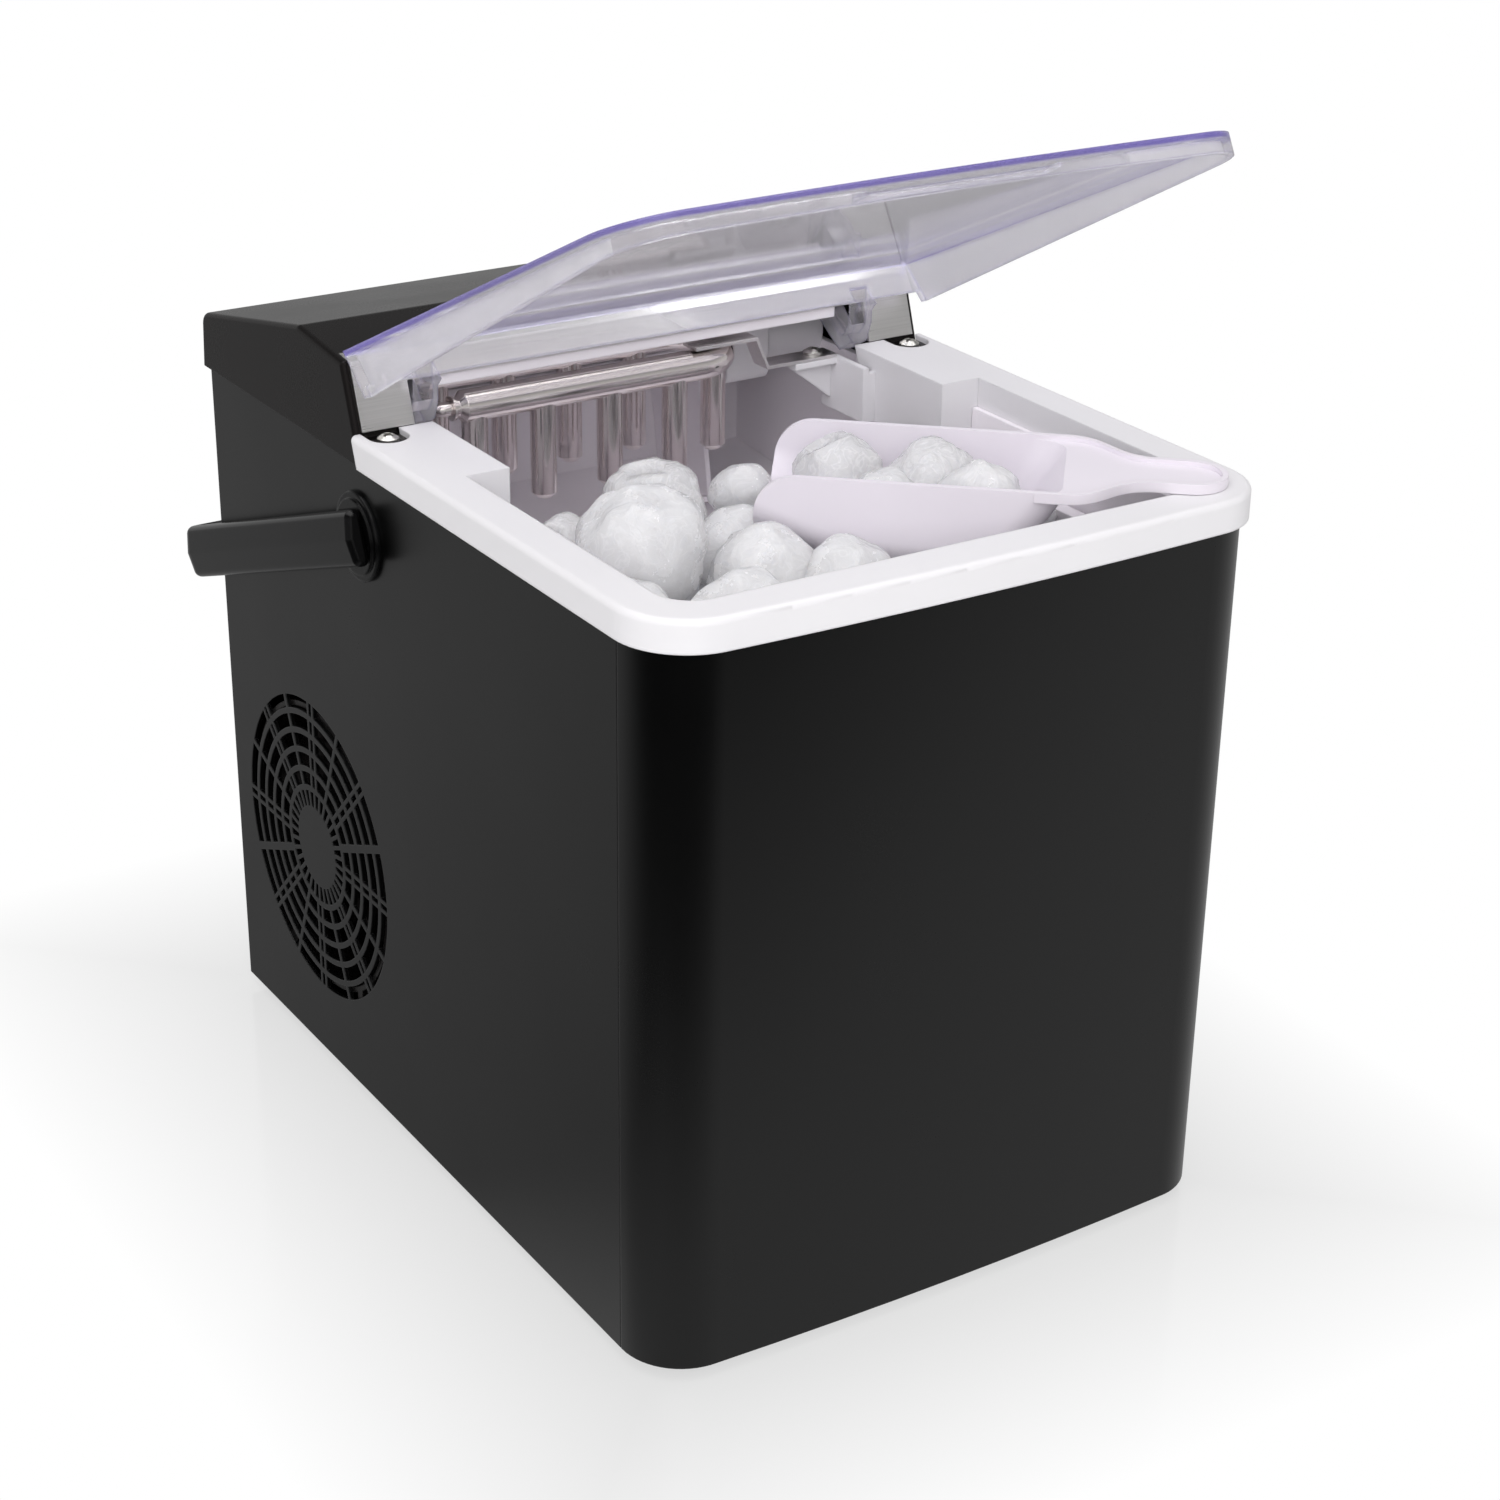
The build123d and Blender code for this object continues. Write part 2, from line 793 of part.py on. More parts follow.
def control_board():
    face = facet_plane().offset(-board_depth)
    board = extrude(face * Rectangle(fascia_width + 2 * board_margin, fascia_depth), -board_thickness)
    switch = board_depth - button_body - button_stem - button_travel - switch_gap
    for x in (-button_spread, button_spread):
        board += extrude(face * Pos(x, 0) * Rectangle(switch_size, switch_size), switch)
    for step in (-1, 0, 1):
        board += extrude(face * Pos(lens_pitch * step, 0) * Circle(lamp_radius), lamp_height)
    return board


def lid_arm():
    h = (hinge_y, hinge_z)
    seat = rim_top + lid_seat_gap
    wall = rim_end + lid_rear_bottom
    points = [(wall + 0.2, seat + 2.2), (h[0] - 21.3, h[1] - 10.8), (h[0] - 19.4, h[1] - 14.6),
              (h[0] - 13.2, h[1] - 20.0), (h[0] - 5.5, h[1] - 20.5), (h[0] + 3.5, h[1] - 5.0),
              (h[0] - 4.0, h[1] - 3.5), (h[0] - 7.0, h[1] - 13.5), (h[0] - 9.8, h[1] - 16.2),
              (h[0] - 15.0, h[1] - 13.8), (h[0] - 18.6, h[1] - 8.0), (wall + 4.4, seat + 9.6)]
    arm = slab(points, arm_inner, arm_outer)
    arm += rod_x(arm_inner, arm_outer, h[0], h[1], eye_radius)
    return arm - rod_x(arm_inner - 1, arm_outer + 1, h[0], h[1], hinge_pin_radius + running_gap)


def lid_closed():
    seat = rim_top + lid_seat_gap
    front = -lid_front_over
    far = front - lid_crown
    rise = (lid_rear_height - lid_front_height) / (rim_end + lid_rear_top - front)
    high = seat + lid_front_height
    wall = rim_end + lid_rear_bottom
    crest = (rim_end + lid_rear_top, seat + lid_rear_height)
    lean_in = (crest[0] - wall) / lid_rear_height
    w = lid_wall
    outer = [(far - 1, seat), (far - 1, high + (far - 1 - front) * rise), crest, (wall, seat)]
    inner = [(far - 1, seat - 1), (far - 1, high - w + (far - 1 - front) * rise),
             (crest[0] - w * 1.1 - w * lean_in, crest[1] - w), (wall - w * 1.1 - lean_in, seat - 1)]
    wide = half - lid_margin
    shell = Pos(0, 0, seat - 2) * extrude(plan(wide, front, lid_crown, lid_corner, bay + 40), 40)
    shell &= slab(outer, -wide, wide)
    inside = plan(wide - w, front + w, lid_crown, lid_corner - w, bay + 40)
    hollow = Pos(0, 0, seat - 2) * extrude(inside, 40)
    hollow &= slab(inner, -wide, wide)
    body = shell - hollow
    body -= block(w - wide, wide - w, wall - 12, wall + 20, seat - 1, seat + lid_rear_relief)
    lip_z = high - w + 0.2
    under = plan(wide - w, front + w - 0.2, lid_crown, lid_corner - w, 60)
    lip = Pos(0, 0, lip_z - lip_thickness) * extrude(under, lip_thickness)
    lip &= block(-lip_half_width, lip_half_width, far - 2, far + w + lip_depth, seat, high + 5)
    return body + both_sides(lid_arm()) + lip


def lid():
    return lid_closed().rotate(Axis((0, hinge_y, hinge_z), (-1, 0, 0)), lid_open_angle)


def lid_hinge_pins():
    end = leg_inner + 1.0 + ear_thickness
    pin = rod_x(arm_inner - 0.5, end, hinge_y, hinge_z, hinge_pin_radius)
    return Compound(children=[pin, mirror(pin, about=Plane.YZ)])


def handle_section():
    t = handle_thickness / 2
    h = handle_height / 2
    edge = handle_edge_share * t
    section = Polygon((-t, -h), (edge, -h), (t, 0), (edge, h), (-t, h), align=None)
    outside = [v for v in section.vertices() if abs(v.X - edge) < 0.01]
    section = fillet(outside, handle_outer_round)
    inside = [v for v in section.vertices() if v.X < 0.01 - t]
    return fillet(inside, handle_inner_round)


def handle_hub():
    return Axis((0, hub_y, hub_z), (1, 0, 0))


def carry_handle():
    mid = (handle_inner + handle_outer) / 2
    near = hub_y - handle_front_over
    far = hub_y + bail_mid
    path = FilletPolyline((-mid, near, hub_z), (-mid, far, hub_z), (mid, far, hub_z), (mid, near, hub_z),
                          radius=handle_bend)
    start = Plane(origin=path @ 0, x_dir=(-1, 0, 0), z_dir=path % 0)
    bail = sweep(start * handle_section(), path=path)
    ends = [e for e in bail.edges() if e.center().Y < near + 0.01]
    bail = chamfer([e for e in ends if abs(e.center().X) > handle_inner + 0.5], handle_end_bevel)
    cup_end = handle_inner + handle_cup_share * handle_thickness
    cup_radius = handle_height / 2 - handle_cup_inset
    bail += both_sides(rod_x(handle_inner - handle_cup_inset, cup_end, hub_y, hub_z, cup_radius))
    bore_end = handle_inner + hub_pin_reach + handle_bore_end_gap
    bore = rod_x(half, bore_end, hub_y, hub_z, hub_pin_radius - hub_pin_step)
    bail -= both_sides(bore)
    return bail.rotate(handle_hub(), -handle_fold)


def handle_hubs():
    inside = half - sheet
    flange = rod_x(half, half + hub_flange, hub_y, hub_z, hub_flange_radius)
    flange = chamfer(flange.edges().group_by(Axis.X)[-1], 0.5)
    step = rod_x(half + hub_flange, handle_inner - 1.0, hub_y, hub_z, hub_step_radius)
    pin_radius = hub_pin_radius - hub_pin_step - running_gap
    pin = rod_x(inside - hub_pin_tail, handle_inner + hub_pin_reach, hub_y, hub_z, pin_radius)
    nut = Plane.YZ.offset(inside - hub_nut) * Pos(hub_y, hub_z) * RegularPolygon(hub_nut_radius, 6)
    hub = flange + step + pin + extrude(nut, hub_nut)
    return Compound(children=[hub, mirror(hub, about=Plane.YZ)])


def tank_profile():
    rear = body_depth - tank_rear_margin
    return [(rim_front_width, top), (rim_front_width, tank_floor), (bin_rear - tank_bevel, tank_floor),
            (bin_rear, tank_floor + tank_bevel), (bin_rear, top - chute_low),
            (bin_rear + chute_step, top - chute_low + chute_step), (rear, top - chute_high), (rear, top)]


def tank_shell():
    core = make_face(Polyline(*tank_profile(), close=True))
    rear = body_depth - tank_rear_margin
    outer = extrude(Plane.YZ.offset(-tank_x - tank_wall) * offset(core, tank_wall, kind=Kind.INTERSECTION),
                    2 * (tank_x + tank_wall))
    outer &= block(-half, half, -overrun, rear + overrun, 0, top)
    inner = extrude(Plane.YZ.offset(-tank_x) * core, 2 * tank_x)
    front = [e for e in inner.edges().filter_by(Axis.Z) if e.center().Y < rim_front_width + 1]
    inner = fillet(front, tank_corner)
    tank = outer - inner
    ledge = block(tank_x - ledge_width, tank_x + 1, basket_front + ledge_inset, basket_rear - ledge_inset,
                  ledge_z - ledge_height, ledge_z)
    tank += both_sides(ledge)
    drain = rod_y(tank_x - ledge_inset, bin_rear - 5, bin_rear + 5, tank_floor + hose_rise, hose_radius - 0.5)
    return tank - drain


def inner_tank():
    return tank_shell() & block(-half, half, -overrun, bin_rear + tank_wall, 0, top)


def ice_chute():
    return tank_shell() & block(-half, half, bin_rear + tank_wall, body_depth, 0, top)


def chamber_roof():
    low = evap_back_z + evap_tube_radius + roof_gap
    rear = body_depth - tank_rear_margin
    front = lean_y(plate_mid_low) + plate_run + roof_gap
    side = arm_inner - roof_arm_gap
    roof = block(-side, side, front, rear + tank_wall, low, low + roof_thickness)
    roof += block(-side, side, front, front + 2.0, low, plate_mid_low - 0.2)
    return roof + block(roof_left, side, rear, rear + tank_wall, top, low)


def insulation():
    outer = extrude(casing_plan(4.5), top - 25.0)
    outer = Pos(0, 0, pan_floor) * outer
    outer &= block(-half, half, -overrun, bin_rear + tank_wall, 0, top)
    void = block(-tank_x - tank_wall, tank_x + tank_wall, rim_front_width - tank_wall, body_depth,
                 tank_floor - tank_wall, top)
    return outer - void


def ice_basket():
    lip_top = ledge_z + basket_lip_height
    outer = block(-basket_x, basket_x, basket_front, basket_rear, basket_floor, lip_top)
    outer = fillet(outer.edges().filter_by(Axis.Z), basket_corner)
    inner = block(-basket_x + basket_wall, basket_x - basket_wall, basket_front + basket_wall,
                  basket_rear - basket_wall, basket_floor + basket_wall, lip_top + 1)
    inner = fillet(inner.edges().filter_by(Axis.Z), basket_corner - basket_wall)
    basket = outer - inner
    lip = block(basket_x - 1, basket_x + basket_lip, basket_front + basket_lip_inset,
                basket_rear - basket_lip_inset, ledge_z, lip_top)
    basket += both_sides(lip)
    middle = (basket_front + basket_rear) / 2
    first = basket_slot_side - basket_x
    pitch = -2 * first / (basket_slots - 1)
    length = basket_rear - basket_front - 2 * basket_slot_margin
    slot = extrude(SlotOverall(length, basket_slot_width, rotation=90), 2 * basket_wall)
    for step in range(basket_slots):
        basket -= Pos(first + step * pitch, middle, basket_floor - 1) * slot
    notch = basket_x - basket_notch_side
    low = lip_top - basket_notch_depth
    return basket - block(-notch, notch, basket_rear - 5, basket_rear + 5, low, lip_top + 1)


def evaporator():
    y_mid = evap_y + evap_row / 2
    z_mid = evap_z + evap_rear_rise / 2
    bend = sqrt(evap_row ** 2 + evap_rear_rise ** 2) / 2
    front = Line((tube_end, evap_y, evap_z), (bend_centre, evap_y, evap_z))
    far = (bend_centre, evap_back, evap_back_z)
    turn = ThreePointArc(front @ 1, (bend_centre + bend, y_mid, z_mid), far)
    back = Line(turn @ 1, (tube_end, evap_back, evap_back_z))
    path = Wire([front, turn, back])
    body = sweep(Plane(origin=path @ 0, z_dir=path % 0) * Circle(evap_tube_radius), path=path)
    low = evap_z - finger_length
    spots = [(finger_first + finger_pitch * step, evap_y, evap_z) for step in range(fingers_per_row)]
    spots += [(x, evap_back, evap_back_z) for x, y, z in spots]
    spots.append((bend_centre + bend, y_mid, z_mid))
    for x, y, z in spots:
        finger = rod_z(x, y, low, z, finger_radius)
        body += chamfer(finger.edges().group_by(Axis.Z)[0], finger_bevel)
    taper = Cone(evap_tube_radius, stub_radius, taper_length, align=on_floor)
    body += Pos(tube_end, evap_y, evap_z) * Rot(0, -90, 0) * taper
    body += rod_x(line_start, tube_end - taper_length, evap_y, evap_z, stub_radius)
    return body + rod_x(line_start, line_start + collar_width, evap_y, evap_z, collar_radius)


def evaporator_bracket():
    high = evap_z + evap_tube_radius + bracket_lift
    low = strap_seat
    start = bend_centre - 4.0
    bend = bend_centre + evap_row / 2 + evap_tube_radius + 1.0
    t = plate_thickness
    points = [(start, high), (bend, high), (bend + 5.0, low), (strap_end, low), (strap_end, low + t),
              (bend + 5.0 + t / 2, low + t), (bend + t / 2, high + t), (start, high + t)]
    profile = make_face(Polyline(*points, close=True))
    return Pos(0, strap_y + strap_width, 0) * extrude(Plane.XZ * profile, strap_width)


def bracket_screw():
    x = strap_end - 7.5
    return cross_head(x, strap_y + strap_width / 2, strap_seat + plate_thickness, strap_screw_radius,
                      strap_screw_head, 20)


def suction_line():
    x = line_start - 5.0
    turn = top - suction_drop
    end = compressor_y + compressor_radius + 0.3
    points = [(line_start, evap_y, evap_z), (x, evap_y, evap_z), (x, line_drop_y, evap_z),
              (x, line_drop_y, turn), (compressor_x, line_drop_y, turn),
              (compressor_x, line_drop_y, suction_turn_z), (compressor_x, end, suction_turn_z)]
    return pipe(points, line_radius, line_bend)


def hot_gas_line():
    x = tube_end - 3.4
    z = evap_back_z
    turn = top - hot_gas_drop
    points = [(tube_end, evap_back, z), (x, evap_back, z), (x, line_drop_y, z), (x, line_drop_y, turn),
              (valve_x, line_drop_y, turn), (valve_x, line_drop_y, valve_coil_top)]
    reach = sqrt(compressor_radius ** 2 - (valve_x - compressor_x) ** 2)
    stub = [(valve_x, line_drop_y, valve_low), (valve_x, line_drop_y, hot_gas_turn_z),
            (valve_x, compressor_y + reach + 1.5, hot_gas_turn_z)]
    return Compound(children=[pipe(points, line_radius, tight_bend), pipe(stub, line_radius, line_bend)])


def hot_gas_valve():
    w = valve_half
    body = block(valve_x - w, valve_x + w, line_drop_y - w + 1, line_drop_y + w - 1, valve_low, valve_high)
    return body + rod_z(valve_x, line_drop_y, valve_high, valve_coil_top, valve_coil_radius)


def tray_profile(grow):
    r = tray_sweep + grow
    low = -tray_depth - grow
    back = grow - tray_back_low
    lip = grow - tray_wall - tray_lip_back
    front_low = -sqrt(r * r - low * low)
    middle = (-r * cos(tray_curve_angle), -r * sin(tray_curve_angle))
    return make_face([ThreePointArc((-r, 0), middle, (front_low, low)), Line((front_low, low), (back, low)),
                      Line((back, low), (lip, 0)), Line((lip, 0), (-r, 0))])


def freeze_tray():
    w = tray_wall
    length = tray_right - tray_left
    axis = Pos(tray_y, tray_z)
    shape = extrude(Plane.YZ.offset(tray_left) * axis * tray_profile(w), length)
    shape -= extrude(Plane.YZ.offset(tray_left + w) * axis * tray_profile(0), length - 2 * w)
    ahead = block(-half, half, tray_y - 60, tray_y - 4.0, tray_z - 20, tray_z + 20)
    for x0 in (tray_left, tray_right - tray_boss_length):
        shape += rod_x(x0, x0 + tray_boss_length, tray_y, tray_z, tray_boss_radius) - ahead
    shape += rod_x(tray_left - tray_pin_left, tray_left, tray_y, tray_z, tray_pin_radius)
    shape += rod_x(tray_right, tray_right + gearbox_gap + tray_pin_right, tray_y, tray_z, tray_pin_radius)
    return shape.rotate(Axis((0, tray_y, tray_z), (1, 0, 0)), tray_tip_angle)


def tray_bearing():
    end = tray_left - bearing_gap
    w = bearing_half
    arm = block(-tank_x, end, tray_y - w, tray_y + w, tray_z - bearing_drop, tray_z + w)
    arm = fillet(arm.edges().filter_by(Axis.X).group_by(Axis.Z)[-1], bearing_round)
    return arm - rod_x(-tank_x - 1, end + 1, tray_y, tray_z, tray_pin_radius + running_gap)


def tray_gear_motor():
    x0 = tray_right + gearbox_gap
    box = block(x0, x0 + gearbox_length, tray_y - 13, tray_y + 20, tray_z - 15, tray_z + 13)
    box = fillet(box.edges().filter_by(Axis.X), 5.0)
    can = rod_x(x0 + gearbox_length, tank_x, tray_y + 2, tray_z - 1, gearmotor_radius)
    bore = rod_x(x0 - 1, x0 + tray_pin_right + 1, tray_y, tray_z, tray_pin_radius + running_gap)
    return box + can - bore


def scoop_bowl(inset, over):
    d = scoop_depth - inset
    end = scoop_length - 1.2 * inset
    slope = scoop_nose_rise / scoop_bend
    ramp = scoop_length - scoop_ramp - 0.6 * inset
    points = [(-over, scoop_nose_rise - d + slope * over), (scoop_bend, -d), (ramp, -d), (end, 0)]
    if over:
        points += [(end, over), (-over, over)]
    else:
        points += [(0, 0)]
    profile = make_face(Polyline(*points, close=True))
    wide = scoop_width - 2 * inset
    bowl = Pos(0, wide / 2, 0) * extrude(Plane.XZ * profile, wide)
    lower = [e for e in bowl.edges() if abs(e.center().Y) > wide / 2 - 0.1 and e.center().Z < -1
             and e.center().X > 1 and e.center().X < scoop_length - 1]
    return fillet(lower, scoop_side_round - inset)


def scoop_handle_plan(start, inset):
    wide = scoop_width / 2 - inset
    slim = scoop_handle_width / 2 - inset
    end = scoop_length + scoop_handle - inset
    shoulder = scoop_length - scoop_shoulder
    neck = scoop_length + scoop_neck
    side = [Line((start, wide), (shoulder, wide)),
            Spline((shoulder, wide), (neck, slim), tangents=((1, 0), (1, 0))),
            Line((neck, slim), (end - slim, slim)),
            ThreePointArc((end - slim, slim), (end, 0), (end - slim, -slim)),
            Line((end - slim, -slim), (neck, -slim)),
            Spline((neck, -slim), (shoulder, -wide), tangents=((-1, 0), (-1, 0))),
            Line((shoulder, -wide), (start, -wide)),
            Line((start, -wide), (start, wide))]
    return make_face(side)


def scoop():
    drop = scoop_rise - rim_height - scoop_seat_gap
    bowl = scoop_bowl(0.0, 0.0)
    n = scoop_nose
    nose = make_face([Line((-1, -2 * n), (-1, 1)), Line((-1, 1), (n, 1)), Line((n, 1), (n, 0)),
                      ThreePointArc((n, 0), (0.36 * n, -0.21 * n), (0.2, 1 - n)),
                      Line((0.2, 1 - n), (-1, -2 * n))])
    bowl -= Pos(0, scoop_width, 0) * extrude(Plane.XZ * nose, 2 * scoop_width)
    bowl += Pos(0, 0, -drop) * extrude(scoop_handle_plan(scoop_length - scoop_root, 0.0), drop)
    bowl -= scoop_bowl(scoop_wall, 10.0)
    dish = extrude(scoop_handle_plan(scoop_length - scoop_dish_root, scoop_wall), overrun)
    shape = bowl - Pos(0, 0, scoop_floor - drop) * dish
    end = scoop_length + scoop_handle
    shape = Pos(-end, 0, drop) * shape
    tip = (half - scoop_tip_from_side, scoop_tip_from_front, rim_top + scoop_seat_gap)
    return Pos(*tip) * Rot(0, 0, scoop_turn) * Rot(0, scoop_pitch, 0) * shape


def fan_blades():
    end = fan_x + fan_depth
    cap = fan_x + fan_cap
    hub = rod_x(fan_x, end, fan_y, fan_z, fan_hub_radius)
    hub -= rod_x(cap, end + 1, fan_y, fan_z, fan_hub_radius - fan_cap)
    hub += rod_x(cap, end, fan_y, fan_z, fan_boss_radius)
    root = Rot(0, 0, blade_root_turn) * Rectangle(blade_thickness, blade_root_width)
    tip = Rot(0, 0, blade_tip_turn) * Rectangle(blade_thickness, blade_tip_width)
    blade = loft([Plane.XY.offset(fan_hub_radius - 1.5) * root, Plane.XY.offset(fan_radius - 1.2) * tip])
    for step in range(fan_blade_count):
        spot = Pos(fan_x + fan_depth / 2, fan_y, fan_z) * Rot(360 * step / fan_blade_count, 0, 0)
        hub += spot * blade
    return hub - rod_x(cap, end + 1, fan_y, fan_z, fan_shaft_radius)


def fan_shaft():
    return rod_x(fan_x + fan_cap, fan_x + fan_depth + shaft_tail, fan_y, fan_z, fan_shaft_radius)


def fan_motor():
    x0 = fan_x + fan_depth + motor_from_fan
    motor = rod_x(x0, x0 + fan_motor_length, fan_y, fan_z, fan_motor_radius)
    motor = chamfer(motor.edges().group_by(Axis.X)[-1], motor_bevel)
    motor += rod_x(x0 - motor_nose, x0, fan_y, fan_z, motor_nose_radius)
    bore = fan_shaft_radius + running_gap
    return motor - rod_x(x0 - motor_nose - 1, x0 + motor_bore_depth, fan_y, fan_z, bore)


def fan_shroud():
    inner = fan_radius + shroud_gap
    outer = inner + shroud_wall
    x0 = -half + sheet
    x1 = x0 + shroud_depth
    ring = rod_x(x0, x1, fan_y, fan_z, outer) - rod_x(x0 - 1, x1 + 1, fan_y, fan_z, inner)
    arm_x = fan_x + fan_depth + motor_from_fan - shroud_wall
    cup_end = arm_x + shroud_cup
    cup = rod_x(arm_x, cup_end, fan_y, fan_z, fan_motor_radius + shroud_wall)
    w = shroud_arm
    arm = block(arm_x, arm_x + w, -w, w, fan_motor_radius, inner + 1.0)
    for turn in (90, 210, 330):
        cup += Pos(0, fan_y, fan_z) * Rot(turn, 0, 0) * arm
    cup -= rod_x(arm_x + shroud_wall, cup_end + 1, fan_y, fan_z, fan_motor_radius)
    cup -= rod_x(arm_x - 1, cup_end + 1, fan_y, fan_z, motor_nose_radius + 0.4)
    spread = shroud_foot_half
    high = fan_z - 40.0
    foot = block(x0, x1, fan_y - spread, fan_y + spread, pan_floor, high)
    foot -= block(x0 - 1, x1 + 1, fan_y - spread + w, fan_y + spread - w, pan_floor - 1, high + 1)
    foot -= rod_x(x0 - 1, x1 + 1, fan_y, fan_z, outer - 0.5)
    foot -= block(x0 - 1, x0 + pan_gap + pan_wall + 0.4, fan_y - 60, fan_y + 60, pan_floor - 1,
                  pan_wall_height + 0.3)
    return ring + cup + foot


def coil_heights():
    low = fan_z - coil_span / 2
    return [low + step * coil_span / (coil_rows - 1) for step in range(coil_rows)]


def condenser_fins():
    fin = Pos(0, fan_z) * Rectangle(condenser_thickness, condenser_height)
    for z in coil_heights():
        fin -= Pos(0, z) * RegularPolygon(coil_radius + 0.1, 8, major_radius=False)
    sheet_fin = extrude(Plane.XZ * fin, fin_thickness)
    start = fan_y - condenser_half_depth + fin_margin
    pitch = 2 * (condenser_half_depth - fin_margin) / (condenser_fins_count - 1)
    fins = [Pos(condenser_x, start + pitch * step, 0) * sheet_fin for step in range(condenser_fins_count)]
    return Compound(children=fins)


def condenser_coil():
    x = condenser_x
    near = fan_y - condenser_half_depth
    far = fan_y + condenser_half_depth
    points = []
    for step, z in enumerate(coil_heights()):
        ends = (near, far) if step % 2 == 0 else (far, near)
        points += [(x, ends[0], z), (x, ends[1], z)]
    points[0] = (x, near + 2, points[0][2])
    points[-1] = (x, near + 2, points[-1][2])
    return pipe(points, coil_radius, coil_bend)


def condenser_frame():
    x = condenser_x
    t = condenser_thickness / 2
    first = fan_y - condenser_half_depth + fin_margin + 3.5
    last = fan_y + condenser_half_depth - fin_margin - 4.5
    legs = []
    for y in (first, last):
        leg = block(x - t, x + t, y, y + leg_thickness, pan_floor, fan_z - condenser_height / 2)
        legs.append(leg + block(x - t, x + t, y, y + leg_foot, pan_floor, pan_floor + 1.2))
    return Compound(children=legs)


def compressor():
    high = top - chute_low - compressor_headroom
    r = compressor_radius
    low = compressor_stand
    weld = low + 0.6 * (high - low)
    lip = r + compressor_seam
    side = Polyline((0, low), (0.72 * r, low), (0.92 * r, low + 0.10 * r), (r, low + 0.28 * r), (r, weld),
                    (lip, weld), (lip, weld + 3.0), (r, weld + 3.0), (r, high - 0.46 * r),
                    (0.92 * r, high - 0.25 * r), (0.74 * r, high - 0.10 * r), (0.42 * r, high), (0, high),
                    close=True)
    can = revolve(Plane.XZ * make_face(side), Axis.Z)
    length = compressor_foot_length
    width = compressor_foot_width
    cross = Rot(0, 0, 45) * (Rectangle(length, width) + Rectangle(width, length))
    plate = Pos(0, 0, low - compressor_foot) * extrude(cross, compressor_foot)
    return Pos(compressor_x, compressor_y, 0) * (can + plate)


def compressor_mounts():
    mounts = []
    for turn in (45, 135, 225, 315):
        x = compressor_x + mount_spread * cos(radians(turn))
        y = compressor_y + mount_spread * sin(radians(turn))
        mounts.append(rod_z(x, y, pan_floor, compressor_stand - compressor_foot, mount_radius))
    return Compound(children=mounts)


def filter_drier():
    x = condenser_x + condenser_thickness / 2 + 8.0
    y = line_drop_y
    can = rod_z(x, y, drier_low, drier_high, drier_radius)
    can = chamfer(can.edges().filter_by(GeomType.CIRCLE), 6.0, 4.5)
    can += rod_z(x, y, drier_low - drier_pipe + 1, drier_low + 1, drier_pipe_radius)
    can += rod_z(x, y, drier_high - 1, drier_high + drier_pipe, drier_pipe_radius)
    middle = (drier_low + drier_high) / 2
    return can + block(x - 5, x + 5, y + drier_radius - 2, body_depth - sheet, middle - 6, middle + 6)


def water_pump():
    x = pump_x
    y = pump_y
    high = tank_floor + pump_height
    pump = block(x - pump_half_width, x + pump_half_width, y - pump_half_depth, y + pump_half_depth,
                 tank_floor, high)
    pump = fillet(pump.edges().filter_by(Axis.Z), 6.0)
    pump += rod_z(x, y, high, high + pump_motor_height, pump_motor_radius)
    port = y + pump_half_depth
    return pump + rod_y(x, port, port + pump_port_length, tank_floor + pump_port_z, pump_port_radius)


def water_tube():
    x = pump_x
    y = pump_y + pump_half_depth + pump_port_length
    wall_x = tube_from_wall - tank_x
    z0 = tank_floor + pump_port_z
    rise_y = bin_rear - 4.5
    fill_y = evap_back - 1.5
    points = [(x, y, z0), (x, rise_y, z0), (x, rise_y, top - 100), (wall_x, rise_y, top - 84),
              (wall_x, rise_y, top - 50), (wall_x, fill_y, top - 26), (wall_x, fill_y, tray_z + 4.2)]
    tube = pipe(points, tube_radius, tube_bend)
    return tube + rod_x(wall_x, tray_left + 5.0, fill_y, tray_z + 2.2, tube_nozzle_radius)


def ice_sensors():
    y = shelf_y + sensor_from_shelf
    z = top - sensor_drop - sensor_width
    face = shelf_x - sensor_thickness
    eye = block(face, shelf_x, y, y + sensor_width, z, z + sensor_width)
    eye = fillet(eye.edges().filter_by(Axis.X), 3.0)
    middle = sensor_width / 2
    eye += rod_x(face - 1.5, face, y + middle, z + middle, sensor_lens_radius)
    return Compound(children=[eye, mirror(eye, about=Plane.YZ)])


def casing_screws():
    screws = []
    for x in (screw_from_side - half, half - screw_from_side):
        for z in (screw_low, top - screw_from_top):
            head = rod_y(x, body_depth, body_depth + screw_head, z, screw_radius)
            screws.append(chamfer(head.edges().group_by(Axis.Y)[-1], screw_head / 2))
    return Compound(children=screws)


pieces = [feet, base_pan, front_panel, left_side_panel, right_side_panel, rear_panel, cord_gland,
          drain_spout, drain_hose, drain_plug, rim_frame, rear_top_cover, hinge_plate, cover_screws,
          control_fascia, power_button, select_button, indicator_lenses, control_board, lid,
          lid_hinge_pins, carry_handle, handle_hubs, inner_tank, ice_chute, chamber_roof, insulation,
          ice_basket, evaporator, evaporator_bracket, bracket_screw, suction_line, hot_gas_line,
          hot_gas_valve, freeze_tray, tray_bearing, tray_gear_motor, scoop, fan_blades, fan_shaft,
          fan_motor, fan_shroud, condenser_fins, condenser_coil, condenser_frame, compressor,
          compressor_mounts, filter_drier, water_pump, water_tube, ice_sensors, casing_screws]

os.makedirs("parts", exist_ok=True)
for piece in pieces:
    shape = Pos(0, -origin_y, foot_height) * piece()
    export_step(shape, "parts/" + piece.__name__ + ".step")
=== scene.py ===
import bpy
import bmesh
import json
import math
import random
from mathutils import Matrix, Vector, noise


